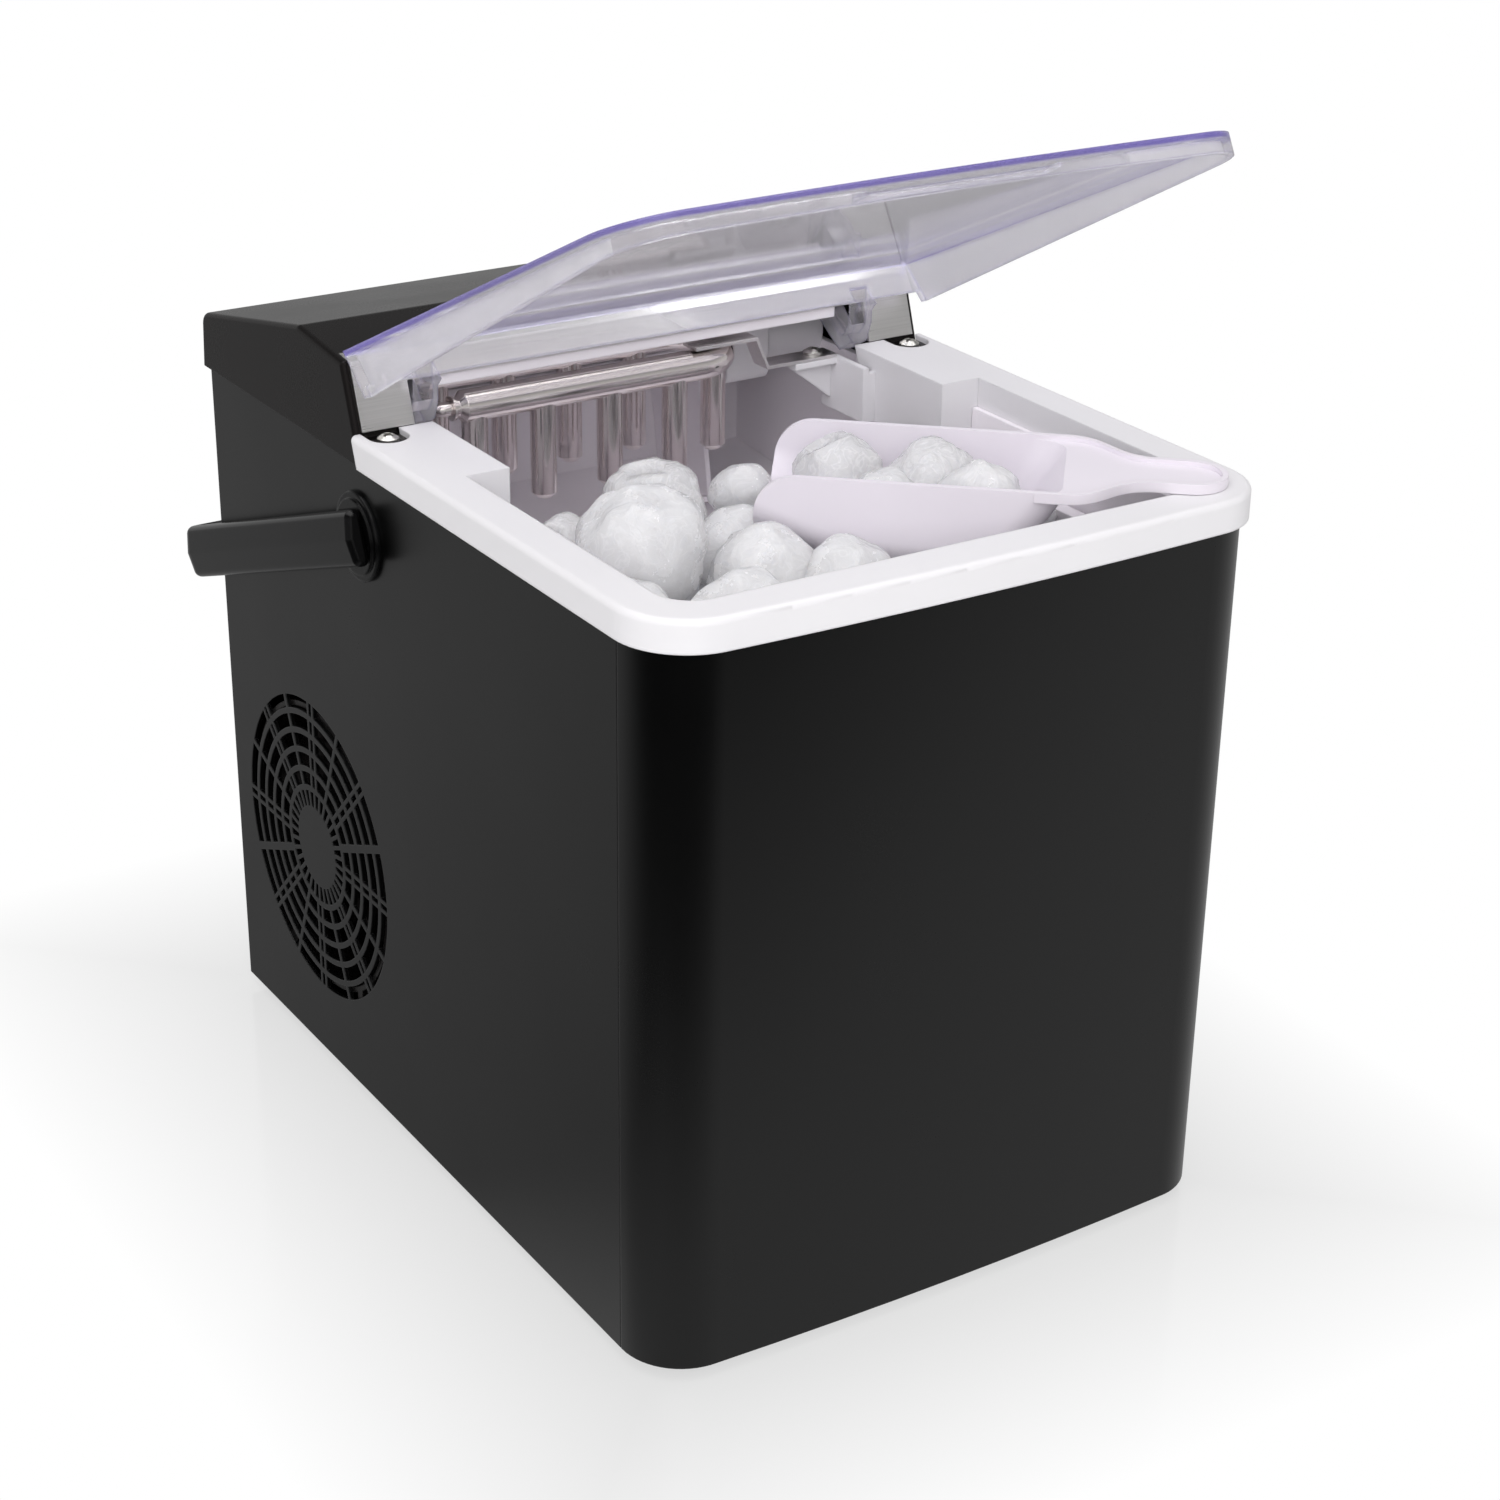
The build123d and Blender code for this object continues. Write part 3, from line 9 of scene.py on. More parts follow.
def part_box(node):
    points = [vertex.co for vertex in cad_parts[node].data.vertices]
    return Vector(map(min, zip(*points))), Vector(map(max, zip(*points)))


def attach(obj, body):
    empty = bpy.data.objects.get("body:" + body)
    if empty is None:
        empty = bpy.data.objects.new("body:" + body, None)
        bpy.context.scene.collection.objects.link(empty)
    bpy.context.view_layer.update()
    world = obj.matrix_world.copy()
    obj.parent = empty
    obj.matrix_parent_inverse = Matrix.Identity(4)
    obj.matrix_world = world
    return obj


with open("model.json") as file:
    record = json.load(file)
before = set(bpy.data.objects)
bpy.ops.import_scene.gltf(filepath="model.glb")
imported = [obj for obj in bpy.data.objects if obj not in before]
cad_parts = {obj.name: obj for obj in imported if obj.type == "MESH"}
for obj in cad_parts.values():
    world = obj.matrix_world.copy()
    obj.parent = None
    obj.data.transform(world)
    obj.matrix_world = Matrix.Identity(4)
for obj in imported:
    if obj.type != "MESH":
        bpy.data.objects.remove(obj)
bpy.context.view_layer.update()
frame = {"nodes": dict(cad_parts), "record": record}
nodes = frame["nodes"]
scene = bpy.context.scene
scene.view_settings.view_transform = "Standard"
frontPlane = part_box("front_panel")[0].y + 0.0021  # the casing's front plane behind its 2.1 mm crown
footHeight = 0.005


def spot(x, y, z):  # millimetres from the casing's front, low edge
    return Vector((x / 1000, y / 1000 + frontPlane, z / 1000 + footHeight))


# Camera
cameraSet = {"turn": 32.995, "tilt": 24.882, "roll": 0.852, "lens": 70.67, "at": (-500.119, -644.586, 568.159)}


def makeCamera(s):
    turn, tilt, roll = (math.radians(s[k]) for k in ("turn", "tilt", "roll"))
    right = Vector((math.cos(turn), -math.sin(turn), 0))
    ahead = Vector((math.sin(turn) * math.cos(tilt), math.cos(turn) * math.cos(tilt), -math.sin(tilt)))
    up = right.cross(ahead)
    side = right * math.cos(roll) + up * math.sin(roll)
    rise = up * math.cos(roll) - right * math.sin(roll)
    camera = bpy.data.objects.new("productCamera", bpy.data.cameras.new("productCamera"))
    camera.matrix_world = Matrix.Translation(spot(*s["at"])) @ Matrix((side, rise, -ahead)).transposed().to_4x4()
    camera.data.lens = s["lens"]
    camera.data.sensor_width = 36
    camera.data.clip_end = 50
    scene.collection.objects.link(camera)
    scene.camera = camera


makeCamera(cameraSet)
print("camera set")


# Node helpers
def put(tree, kind, settings=None, **inputs):
    n = tree.nodes.new("ShaderNode" + kind)
    for key, value in (settings or {}).items():
        setattr(n, key, value)
    for key, value in inputs.items():
        name = key.replace("_", " ")
        socket = n.inputs[int(name[2:])] if name.startswith("in") and name[2:].isdigit() else n.inputs[name]
        if isinstance(value, bpy.types.NodeSocket):
            tree.links.new(value, socket)
        else:
            socket.default_value = value
    return n


def startGroup(name, ins, outs):
    group = bpy.data.node_groups.new(name, "ShaderNodeTree")
    for label, kind, value in ins:
        socket = group.interface.new_socket(label, in_out="INPUT", socket_type="NodeSocket" + kind)
        socket.default_value = value
    for label, kind in outs:
        group.interface.new_socket(label, in_out="OUTPUT", socket_type="NodeSocket" + kind)
    return group, group.nodes.new("NodeGroupInput").outputs, group.nodes.new("NodeGroupOutput").inputs


def useGroup(tree, group, **inputs):
    return put(tree, "Group", {"node_tree": group}, **inputs).outputs


def startMaterial(name):
    mat = bpy.data.materials.new(name)
    mat.use_nodes = True
    tree = mat.node_tree
    tree.nodes.clear()
    shader = put(tree, "BsdfPrincipled")
    out = put(tree, "OutputMaterial", Surface=shader.outputs[0])
    return mat, tree, shader, out


def math2(tree, operation, a, b, c=None):
    n = put(tree, "Math", {"operation": operation}, in0=a, in1=b)
    if c is not None:
        n.inputs[2].default_value = c
    return n.outputs[0]


def remap(tree, value, low, high, toLow, toHigh):
    return put(tree, "MapRange", Value=value, From_Min=low, From_Max=high, To_Min=toLow, To_Max=toHigh).outputs[0]


def tint(tree, colour, value):  # colour times a grey value
    return put(tree, "VectorMath", {"operation": "SCALE"}, in0=colour, Scale=value).outputs[0]


def blendColour(tree, mask, a, b):
    return put(tree, "Mix", {"data_type": "RGBA"}, Factor=mask, in6=a, in7=b).outputs[2]


# Shared surface effects
grainSet = {"broad": 17.0, "broadDetail": 3.0, "fineDetail": 2.0, "fineShare": 0.6, "reach": (0.3, 0.7)}


def makeMouldGrain(s):
    group, i, o = startGroup("mouldGrain",
                             [("Colour", "Color", (0.5, 0.5, 0.5, 1)), ("Tone", "Float", 0.05),
                              ("Fine", "Float", 900.0), ("Rough", "Float", 0.4), ("Spread", "Float", 0.1)],
                             [("Colour", "Color"), ("Roughness", "Float"), ("Height", "Float")])
    where = put(group, "TexCoord").outputs["Object"]
    broad = put(group, "TexNoise", Vector=where, Scale=s["broad"], Detail=s["broadDetail"]).outputs[0]
    fine = put(group, "TexNoise", Vector=where, Scale=i["Fine"], Detail=s["fineDetail"]).outputs[0]
    low = math2(group, "SUBTRACT", 1.0, i["Tone"])
    high = math2(group, "ADD", 1.0, i["Tone"])
    shade = remap(group, broad, *s["reach"], low, high)
    group.links.new(tint(group, i["Colour"], shade), o["Colour"])
    drift = math2(group, "MULTIPLY_ADD", fine, s["fineShare"], -s["fineShare"] / 2)  # about zero
    mottled = math2(group, "ADD", drift, math2(group, "SUBTRACT", broad, 0.5))
    rough = math2(group, "ADD", i["Rough"], math2(group, "MULTIPLY", mottled, i["Spread"]))
    group.links.new(rough, o["Roughness"])
    group.links.new(fine, o["Height"])
    return group


brushSet = {"detail": 4.0, "break": 0.65, "broad": 24.0, "broadDetail": 2.0, "streakShare": 0.6, "broadShare": 0.4,
            "reach": (0.3, 0.7)}


def makeBrushLines(s):
    group, i, o = startGroup("brushLines",
                             [("Colour", "Color", (0.6, 0.6, 0.6, 1)), ("Stretch", "Vector", (20, 900, 900)),
                              ("Rough", "Float", 0.3), ("Spread", "Float", 0.2), ("Tone", "Float", 0.1)],
                             [("Colour", "Color"), ("Roughness", "Float"), ("Height", "Float")])
    where = put(group, "TexCoord").outputs["Object"]
    lines = put(group, "VectorMath", {"operation": "MULTIPLY"}, in0=where, in1=i["Stretch"]).outputs[0]
    streak = put(group, "TexNoise", Vector=lines, Scale=1.0, Detail=s["detail"], Roughness=s["break"]).outputs[0]
    broad = put(group, "TexNoise", Vector=where, Scale=s["broad"], Detail=s["broadDetail"]).outputs[0]
    both = math2(group, "ADD", math2(group, "MULTIPLY", streak, s["streakShare"]),
                 math2(group, "MULTIPLY", broad, s["broadShare"]))
    low = math2(group, "SUBTRACT", 1.0, i["Tone"])
    high = math2(group, "ADD", 1.0, i["Tone"])
    group.links.new(tint(group, i["Colour"], remap(group, both, *s["reach"], low, high)), o["Colour"])
    drift = math2(group, "SUBTRACT", both, 0.5)
    rough = math2(group, "ADD", i["Rough"], math2(group, "MULTIPLY", drift, i["Spread"]))
    group.links.new(rough, o["Roughness"])
    group.links.new(streak, o["Height"])
    return group


edgeSet = {"samples": 4, "turn": (0.99, 0.80)}


def makeSoftEdge(s):
    group, i, o = startGroup("softEdge", [("Radius", "Float", 0.0006)], [("Normal", "Vector"), ("Edge", "Float")])
    bevel = put(group, "Bevel", {"samples": s["samples"]}, Radius=i["Radius"]).outputs[0]
    flat = put(group, "NewGeometry").outputs["Normal"]
    along = put(group, "VectorMath", {"operation": "DOT_PRODUCT"}, in0=bevel, in1=flat).outputs["Value"]
    group.links.new(bevel, o["Normal"])
    group.links.new(remap(group, along, *s["turn"], 0.0, 1.0), o["Edge"])
    return group


veilSet = {"detail": 6.0, "break": 0.7, "ripple": 110.0, "rippleDetail": 2.0, "twist": 2.2, "thin": 0.5, "start": 0.22,
           "fade": 0.22, "crack": 0.05}


def makeFrostVeil(s):
    group, i, o = startGroup("frostVeil", [("Scale", "Float", 60.0), ("Cover", "Float", 0.5)],
                             [("Mask", "Float"), ("Crack", "Float"), ("Height", "Float")])
    where = put(group, "TexCoord").outputs["Object"]
    cloud = put(group, "TexNoise", Vector=where, Scale=i["Scale"], Detail=s["detail"], Roughness=s["break"]).outputs[0]
    ripple = put(group, "TexNoise", Vector=where, Scale=s["ripple"], Detail=s["rippleDetail"],
                 Distortion=s["twist"]).outputs[0]
    edge = math2(group, "SUBTRACT", 1.0, i["Cover"])
    above = math2(group, "SUBTRACT", cloud, math2(group, "MULTIPLY_ADD", edge, s["thin"], s["start"]))
    group.links.new(remap(group, above, 0.0, s["fade"], 0.0, 1.0), o["Mask"])
    ridge = math2(group, "ABSOLUTE", math2(group, "SUBTRACT", ripple, 0.5), 0.0)
    group.links.new(remap(group, ridge, 0.0, s["crack"], 1.0, 0.0), o["Crack"])
    group.links.new(math2(group, "ADD", ripple, cloud), o["Height"])
    return group


mouldGrain = makeMouldGrain(grainSet)
brushLines = makeBrushLines(brushSet)
softEdge = makeSoftEdge(edgeSet)
frostVeil = makeFrostVeil(veilSet)

# Finishes: what the surface shader takes, and the grain that lies on it
bumpDepth = 0.0002
# painted highlight: how far each found edge is lightened towards its finish's lighter edge colour
wearShare = 0.5
coatRough = 0.08
# each plastic finish's last colour is its painted edge highlight, lighter than the moulding, standing in for light
# caught on the edges
plasticSet = {
    "black_satin_paint": {"colour": (0.0010, 0.0010, 0.0011), "rough": 0.30, "spread": 0.10, "tone": 0.10, "fine": 1500,
                          "bump": 0.04, "specular": 0.42, "coat": 0.0, "edge": 0.0007, "wear": (0.045, 0.045, 0.046)},
    "black_plastic": {"colour": (0.0048, 0.0042, 0.0042), "rough": 0.27, "spread": 0.12, "tone": 0.10, "fine": 2200,
                      "bump": 0.08, "specular": 0.17, "coat": 0.0, "edge": 0.0008, "wear": (0.045, 0.042, 0.042),
                      "cast": (1.0, 0.90, 0.885)},
    "gloss_black_plastic": {"colour": (0.0026, 0.0026, 0.0028), "rough": 0.07, "spread": 0.05, "tone": 0.08,
                            "fine": 700, "bump": 0.01, "specular": 0.20, "coat": 0.0, "edge": 0.0009,
                            "wear": (0.008, 0.008, 0.008)},
    "white_plastic": {"colour": (0.745, 0.732, 0.752), "rough": 0.36, "spread": 0.12, "tone": 0.012, "fine": 1300,
                      "bump": 0.03, "specular": 0.34, "coat": 0.0, "edge": 0.0010, "wear": (0.80, 0.79, 0.81)},
    "lilac_white_plastic": {"colour": (0.92, 0.878, 0.918), "rough": 0.33, "spread": 0.12, "tone": 0.02, "fine": 1300,
                            "bump": 0.03, "specular": 0.45, "coat": 0.05, "edge": 0.0009, "wear": (0.92, 0.90, 0.93)},
    "pale_scoop_plastic": {"colour": (0.775, 0.73, 0.79), "rough": 0.30, "spread": 0.05, "tone": 0.012, "fine": 500,
                           "bump": 0.01, "specular": 0.42, "coat": 0.0, "edge": 0.0004, "wear": (0.79, 0.75, 0.80)},
    "black_rubber": {"colour": (0.016, 0.016, 0.016), "rough": 0.72, "spread": 0.18, "tone": 0.15, "fine": 1600,
                     "bump": 0.18, "specular": 0.25, "coat": 0.0, "edge": 0.0006, "wear": (0.04, 0.04, 0.04)},
    "grey_foam": {"colour": (0.70, 0.69, 0.66), "rough": 0.9, "spread": 0.1, "tone": 0.08, "fine": 420,
                  "bump": 0.6, "specular": 0.2, "coat": 0.0, "edge": 0.001, "wear": (0.8, 0.79, 0.76)},
    "green_board": {"colour": (0.012, 0.075, 0.028), "rough": 0.35, "spread": 0.2, "tone": 0.2, "fine": 300,
                    "bump": 0.05, "specular": 0.5, "coat": 0.2, "edge": 0.0004, "wear": (0.3, 0.25, 0.12)},
    "lens_plastic": {"colour": (0.30, 0.52, 0.34), "rough": 0.2, "spread": 0.1, "tone": 0.1, "fine": 900,
                     "bump": 0.03, "specular": 0.5, "coat": 0.4, "edge": 0.0004, "wear": (0.5, 0.7, 0.5)},
}
metalSet = {
    "brushed_steel": {"colour": (0.80, 0.785, 0.775), "rough": 0.30, "spread": 0.22, "tone": 0.10,
                      "stretch": (16, 1500, 1500), "bump": 0.05, "edge": 0.0004},
    "nickel_plate": {"colour": (0.84, 0.785, 0.765), "rough": 0.13, "spread": 0.04, "tone": 0.03,
                     "stretch": (900, 900, 40), "bump": 0.004, "edge": 0.0005},
    "zinc_steel": {"colour": (0.60, 0.59, 0.56), "rough": 0.30, "spread": 0.25, "tone": 0.16,
                   "stretch": (500, 500, 500), "bump": 0.05, "edge": 0.0003},
    "copper": {"colour": (0.66, 0.33, 0.20), "rough": 0.32, "spread": 0.3, "tone": 0.25,
               "stretch": (120, 120, 120), "bump": 0.03, "edge": 0.0003},
    "aluminium": {"colour": (0.70, 0.71, 0.72), "rough": 0.42, "spread": 0.2, "tone": 0.12,
                  "stretch": (300, 300, 60), "bump": 0.03, "edge": 0.0002},
}


def solidColour(rgb):
    return (*rgb, 1)


def makePlastic(name, s):
    mat, tree, shader = startMaterial(name)[:3]
    grain = useGroup(tree, mouldGrain, Colour=solidColour(s["colour"]), Tone=s["tone"], Fine=s["fine"],
                     Rough=s["rough"], Spread=s["spread"])
    edge = useGroup(tree, softEdge, Radius=s["edge"])
    # painted highlight: edges found by softEdge are lightened towards the finish's lighter edge colour, as if they
    # caught the light
    paintedEdgeHighlight = math2(tree, "MULTIPLY", edge["Edge"], wearShare)
    colour = blendColour(tree, paintedEdgeHighlight, grain["Colour"], solidColour(s["wear"]))
    bump = put(tree, "Bump", Strength=s["bump"], Distance=bumpDepth, Height=grain["Height"], Normal=edge["Normal"])
    tree.links.new(colour, shader.inputs["Base Color"])
    tree.links.new(grain["Roughness"], shader.inputs["Roughness"])
    tree.links.new(bump.outputs[0], shader.inputs["Normal"])
    shader.inputs["Specular IOR Level"].default_value = s["specular"]
    shader.inputs["Specular Tint"].default_value = solidColour(s.get("cast", (1, 1, 1)))
    shader.inputs["Coat Weight"].default_value = s["coat"]
    shader.inputs["Coat Roughness"].default_value = coatRough
    return mat


def makeMetal(name, s):
    mat, tree, shader = startMaterial(name)[:3]
    lines = useGroup(tree, brushLines, Colour=solidColour(s["colour"]), Stretch=s["stretch"], Rough=s["rough"],
                     Spread=s["spread"], Tone=s["tone"])
    edge = useGroup(tree, softEdge, Radius=s["edge"])
    bump = put(tree, "Bump", Strength=s["bump"], Distance=bumpDepth, Height=lines["Height"], Normal=edge["Normal"])
    tree.links.new(lines["Colour"], shader.inputs["Base Color"])
    tree.links.new(lines["Roughness"], shader.inputs["Roughness"])
    tree.links.new(bump.outputs[0], shader.inputs["Normal"])
    shader.inputs["Metallic"].default_value = 1.0
    return mat


clearSet = {"face": (0.94, 0.92, 0.965), "violet": (0.24, 0.19, 0.66), "rough": 0.05, "index": 1.45, "through": 0.72,
            "solid": 0.12, "edgeSolid": 0.96, "edge": 0.0016, "bump": 0.02, "shade": (0.96, 0.957, 0.975),
            "sheet": 0.0026, "full": 0.6, "other": 0.55, "upright": (0.80, 0.96), "graze": 0.31,
            "tone": 0.012, "fine": 300.0, "spread": 0.06}


def crownPlane(mesh):  # the lid's broad outer face: its normal and how far out it lies
    face = max((f for f in mesh.polygons if f.normal.z > 0), key=lambda f: f.area)
    return face.normal.copy(), face.normal.dot(face.center)


def makeClear(name, s, plane):  # clear moulding, violet where light runs out of the edge of its top sheet
    mat, tree, shader, out = startMaterial(name)
    grain = useGroup(tree, mouldGrain, Colour=solidColour(s["face"]), Tone=s["tone"], Fine=s["fine"],
                     Rough=s["rough"], Spread=s["spread"])
    edge = useGroup(tree, softEdge, Radius=s["edge"])
    own = put(tree, "TexCoord").outputs
    height = put(tree, "VectorMath", {"operation": "DOT_PRODUCT"}, in0=own["Object"], in1=plane[0]).outputs["Value"]
    below = math2(tree, "SUBTRACT", plane[1], height)
    facing = put(tree, "VectorMath", {"operation": "DOT_PRODUCT"}, in0=own["Normal"], in1=plane[0]).outputs["Value"]
    upright = remap(tree, math2(tree, "ABSOLUTE", facing, 0.0), *s["upright"], 1.0, 0.0)
    sheet = math2(tree, "MULTIPLY", remap(tree, below, s["sheet"] * s["full"], s["sheet"], 1.0, 0.0), upright)
    cast = math2(tree, "MAXIMUM", sheet, math2(tree, "MULTIPLY", edge["Edge"], s["other"]))
    graze = put(tree, "LayerWeight", Blend=s["graze"]).outputs["Fresnel"]
    colour = blendColour(tree, cast, grain["Colour"], solidColour(s["violet"]))
    bump = put(tree, "Bump", Strength=s["bump"], Distance=bumpDepth, Height=grain["Height"], Normal=edge["Normal"])
    tree.links.new(colour, shader.inputs["Base Color"])
    tree.links.new(grain["Roughness"], shader.inputs["Roughness"])
    tree.links.new(bump.outputs[0], shader.inputs["Normal"])
    solid = math2(tree, "MAXIMUM", remap(tree, cast, 0.0, 1.0, s["solid"], s["edgeSolid"]),
                  remap(tree, graze, 0.0, 1.0, s["solid"], 1.0))
    tree.links.new(solid, shader.inputs["Alpha"])
    shader.inputs["Transmission Weight"].default_value = s["through"]
    shader.inputs["IOR"].default_value = s["index"]
    passing = put(tree, "BsdfTransparent", Color=solidColour(s["shade"]))
    rays = put(tree, "LightPath").outputs  # light reaches the bin through the lid
    lets = math2(tree, "MAXIMUM", rays["Is Shadow Ray"], rays["Is Diffuse Ray"])
    mix = put(tree, "MixShader", in0=lets, in1=shader.outputs[0], in2=passing.outputs[0])
    tree.links.new(mix.outputs[0], out.inputs["Surface"])
    return mat


finishes = {name: makePlastic(name, s) for name, s in plasticSet.items()}
finishes.update({name: makeMetal(name, s) for name, s in metalSet.items()})
finishes["clear_plastic"] = makeClear("clear_plastic", clearSet, crownPlane(nodes["lid"].data))
for row in frame["record"]["subparts"]:
    mesh = nodes[row["node"]].data
    mesh.materials.clear()
    mesh.materials.append(finishes[row["material_slot"]])
print("finishes on", len(nodes), "pieces")


# Ice: bullets with the hollow that a finger leaves
iceSet = {"round": 40, "rings": 18, "lump": 0.085, "tall": 1.10, "hole": 0.30, "deep": 1.25, "top": 263.0,
          "past": 0.9, "blunt": 0.8, "lip": 0.10, "lipDrop": 0.05, "lipRise": 0.10, "crownRise": 0.08,
          "taper": ((0.9, 0.6), (0.6, 1.0)), "seedStep": (3.7, 1.9, 5.3),
          "swell": ((1.2, 1.5), (2.6, 0.8), (6.0, 0.35), (12.0, 0.15))}
iceLook = {"radius": (0.0095, 0.0098, 0.0102), "shadow": (0.66, 0.66, 0.67), "bumpDepth": 0.0016, "frostRough": 0.25}
clearIceSet = {"colour": (0.98, 0.975, 0.98), "deep": (0.80, 0.795, 0.805), "rough": 0.03, "through": 0.38,
               "under": 0.9, "index": 1.25, "scale": 95.0, "cover": 0.42, "bump": 0.8, "crack": 0.7}
frostIceSet = {"colour": (0.86, 0.855, 0.865), "deep": (0.74, 0.735, 0.745), "rough": 0.18, "through": 0.22,
               "under": 1.0, "index": 1.28, "scale": 48.0, "cover": 0.50, "bump": 0.40, "crack": 0.45}


def makeIce(name, s):
    mat, tree, shader, out = startMaterial(name)
    veil = useGroup(tree, frostVeil, Scale=s["scale"], Cover=s["cover"])
    rough = remap(tree, veil["Mask"], 0.0, 1.0, s["rough"], s["rough"] + iceLook["frostRough"])
    white = math2(tree, "MAXIMUM", veil["Mask"], math2(tree, "MULTIPLY", veil["Crack"], s["crack"]))
    tone = blendColour(tree, white, solidColour(s["deep"]), solidColour(s["colour"]))
    bump = put(tree, "Bump", Strength=s["bump"], Distance=iceLook["bumpDepth"], Height=veil["Height"])
    tree.links.new(tone, shader.inputs["Base Color"])
    tree.links.new(rough, shader.inputs["Roughness"])
    tree.links.new(bump.outputs[0], shader.inputs["Normal"])
    shader.inputs["Transmission Weight"].default_value = s["through"]
    shader.inputs["IOR"].default_value = s["index"]
    shader.inputs["Subsurface Weight"].default_value = s["under"]
    shader.inputs["Subsurface Radius"].default_value = iceLook["radius"]
    shader.inputs["Subsurface Scale"].default_value = 1.0
    passing = put(tree, "BsdfTransparent", Color=solidColour(iceLook["shadow"]))
    shadow = put(tree, "LightPath").outputs["Is Shadow Ray"]
    mix = put(tree, "MixShader", in0=shadow, in1=shader.outputs[0], in2=passing.outputs[0])
    tree.links.new(mix.outputs[0], out.inputs["Surface"])
    return mat


clearIce = makeIce("clear_ice", clearIceSet)
frostIce = makeIce("frost_ice", frostIceSet)


def iceProfile(s):  # half section from the crown round the foot and up into the hollow
    points = []
    for step in range(s["rings"] + 1):
        a = math.pi / 2 - step / s["rings"] * (math.pi / 2 + s["past"])
        points.append((math.cos(a) ** s["blunt"] if math.cos(a) > 0 else 0.0, math.sin(a) * s["tall"]))
    foot = points[-1][1]
    points.append((s["hole"] + s["lip"], foot - s["lipDrop"]))
    points.append((s["hole"], foot + s["lipRise"]))
    points += [(s["hole"] * share, foot + s["deep"] * rise) for share, rise in s["taper"]]
    points.append((0.0, foot + s["deep"] + s["crownRise"]))
    return points


def makeBullet(name, radius, seed, s):
    mesh = bpy.data.meshes.new(name)
    bm = bmesh.new()
    rows = []
    for r, z in iceProfile(s):
        if r < 1e-6:
            rows.append([bm.verts.new((0, 0, z))])
        else:
            turns = range(s["round"])
            rows.append([bm.verts.new((r * math.cos(2 * math.pi * t / s["round"]),
                                       r * math.sin(2 * math.pi * t / s["round"]), z)) for t in turns])
    for a, b in zip(rows, rows[1:]):
        for t in range(s["round"]):
            u = (t + 1) % s["round"]
            corners = [a[t % len(a)], b[t % len(b)], b[u % len(b)], a[u % len(a)]]
            corners = list(dict.fromkeys(corners))
            if len(corners) > 2:
                bm.faces.new(corners)
    shift = Vector([seed * step for step in s["seedStep"]])
    for v in bm.verts:
        swell = sum(noise.noise(v.co * scale + shift) * share for scale, share in s["swell"])
        v.co *= 1 + s["lump"] * swell
        v.co *= radius
    bmesh.ops.recalc_face_normals(bm, faces=bm.faces)
    for f in bm.faces:
        f.smooth = True
    bm.to_mesh(mesh)
    bm.free()
    piece = bpy.data.objects.new(name, mesh)
    scene.collection.objects.link(piece)
    return piece


def placeIce(name, place, radius, tilt, seed, finish, body):
    piece = makeBullet(name, radius / 1000, seed, iceSet)
    piece.data.materials.append(finish)
    turned = Matrix.Rotation(tilt[1], 4, "Z") @ Matrix.Rotation(tilt[0], 4, "X")
    crest = max((turned @ v.co).z for v in piece.data.vertices)
    at = spot(*place)
    at.z = min(at.z, spot(0, 0, iceSet["top"]).z - crest)  # stays under the closed lid
    piece.matrix_world = Matrix.Translation(at) @ turned
    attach(piece, body)


# Ice: each piece's place or share of the scoop, radius, tilt and finish
binIce = [((-66, 87, 239), 20.5, (0.3, 0.4), frostIce), ((-42, 118, 239), 16.5, (2.9, 0.9), clearIce),
          ((-71, 126, 233), 8.5, (1.7, 2.1), clearIce), ((-36, 64, 233), 16.5, (0.5, 0.2), frostIce),
          ((-7, 123, 238), 9.5, (1.1, 0.3), frostIce), ((-17, 48, 232), 14.5, (0.4, 1.4), frostIce),
          ((-82, 62, 226), 14, (0.6, 2.7), frostIce), ((-56, 44, 228), 17, (0.5, 1.1), frostIce),
          ((3, 34, 230), 12.5, (0.8, 0.5), clearIce), ((78, 108, 228), 14, (1.2, 1.2), frostIce),
          ((79, 84, 223), 12, (0.5, 0.3), frostIce), ((54, 119, 232), 14, (0.5, 2.0), frostIce),
          ((30, 122, 226), 13, (1.5, 0.8), frostIce), ((-76, 36, 226), 15, (0.4, 2.2), frostIce),
          ((-34, 30, 228), 14.5, (0.7, 0.1), frostIce), ((82, 36, 231), 11, (0.6, 1.8), frostIce),
          ((24, 21.5, 228), 9, (0.4, 0.9), frostIce), ((-12, 27, 226), 12, (0.9, 2.4), frostIce),
          ((-26, 96, 229), 14, (0.6, 1.6), frostIce)]
scoopIce = [((0.23, 0.18), 15.0, (2.7, 0.6), clearIce), ((0.53, 0.14), 16.4, (0.7, 1.9), clearIce),
            ((0.70, -0.14), 15.2, (0.4, 0.3), frostIce), ((0.40, -0.22), 13.0, (1.0, 2.4), frostIce)]
scoopPlace = {"lip": (-10.6, 103.5), "along": (0.766, -0.643), "across": (0.643, 0.766), "long": 99.0, "wide": 58.0,
              "floor": 231.6, "seed": 80}
lowIceSet = {"rows": 4, "columns": 7, "at": (-78, 34, 203), "step": (26, 27), "drift": 3, "rise": 4,
             "radius": (12.5, 14.5), "tilt": 3.1, "turn": 6.2, "draw": 11, "seed": 40}


def fillBin(s):
    for count, (place, radius, tilt, finish) in enumerate(binIce):
        placeIce("binIce.%02d" % count, place, radius, tilt, count + 1, finish, "basket")
    draw = random.Random(s["draw"])
    for count in range(s["rows"] * s["columns"]):  # the layer under them
        row, column = divmod(count, s["columns"])
        x = s["at"][0] + column * s["step"][0] + draw.uniform(-s["drift"], s["drift"])
        y = s["at"][1] + row * s["step"][1] + draw.uniform(-s["drift"], s["drift"])
        z = s["at"][2] + draw.uniform(-s["rise"], s["rise"])
        tilt = (draw.uniform(0, s["tilt"]), draw.uniform(0, s["turn"]))
        radius = draw.uniform(*s["radius"])
        placeIce("lowIce.%02d" % count, (x, y, z), radius, tilt, s["seed"] + count, frostIce, "basket")


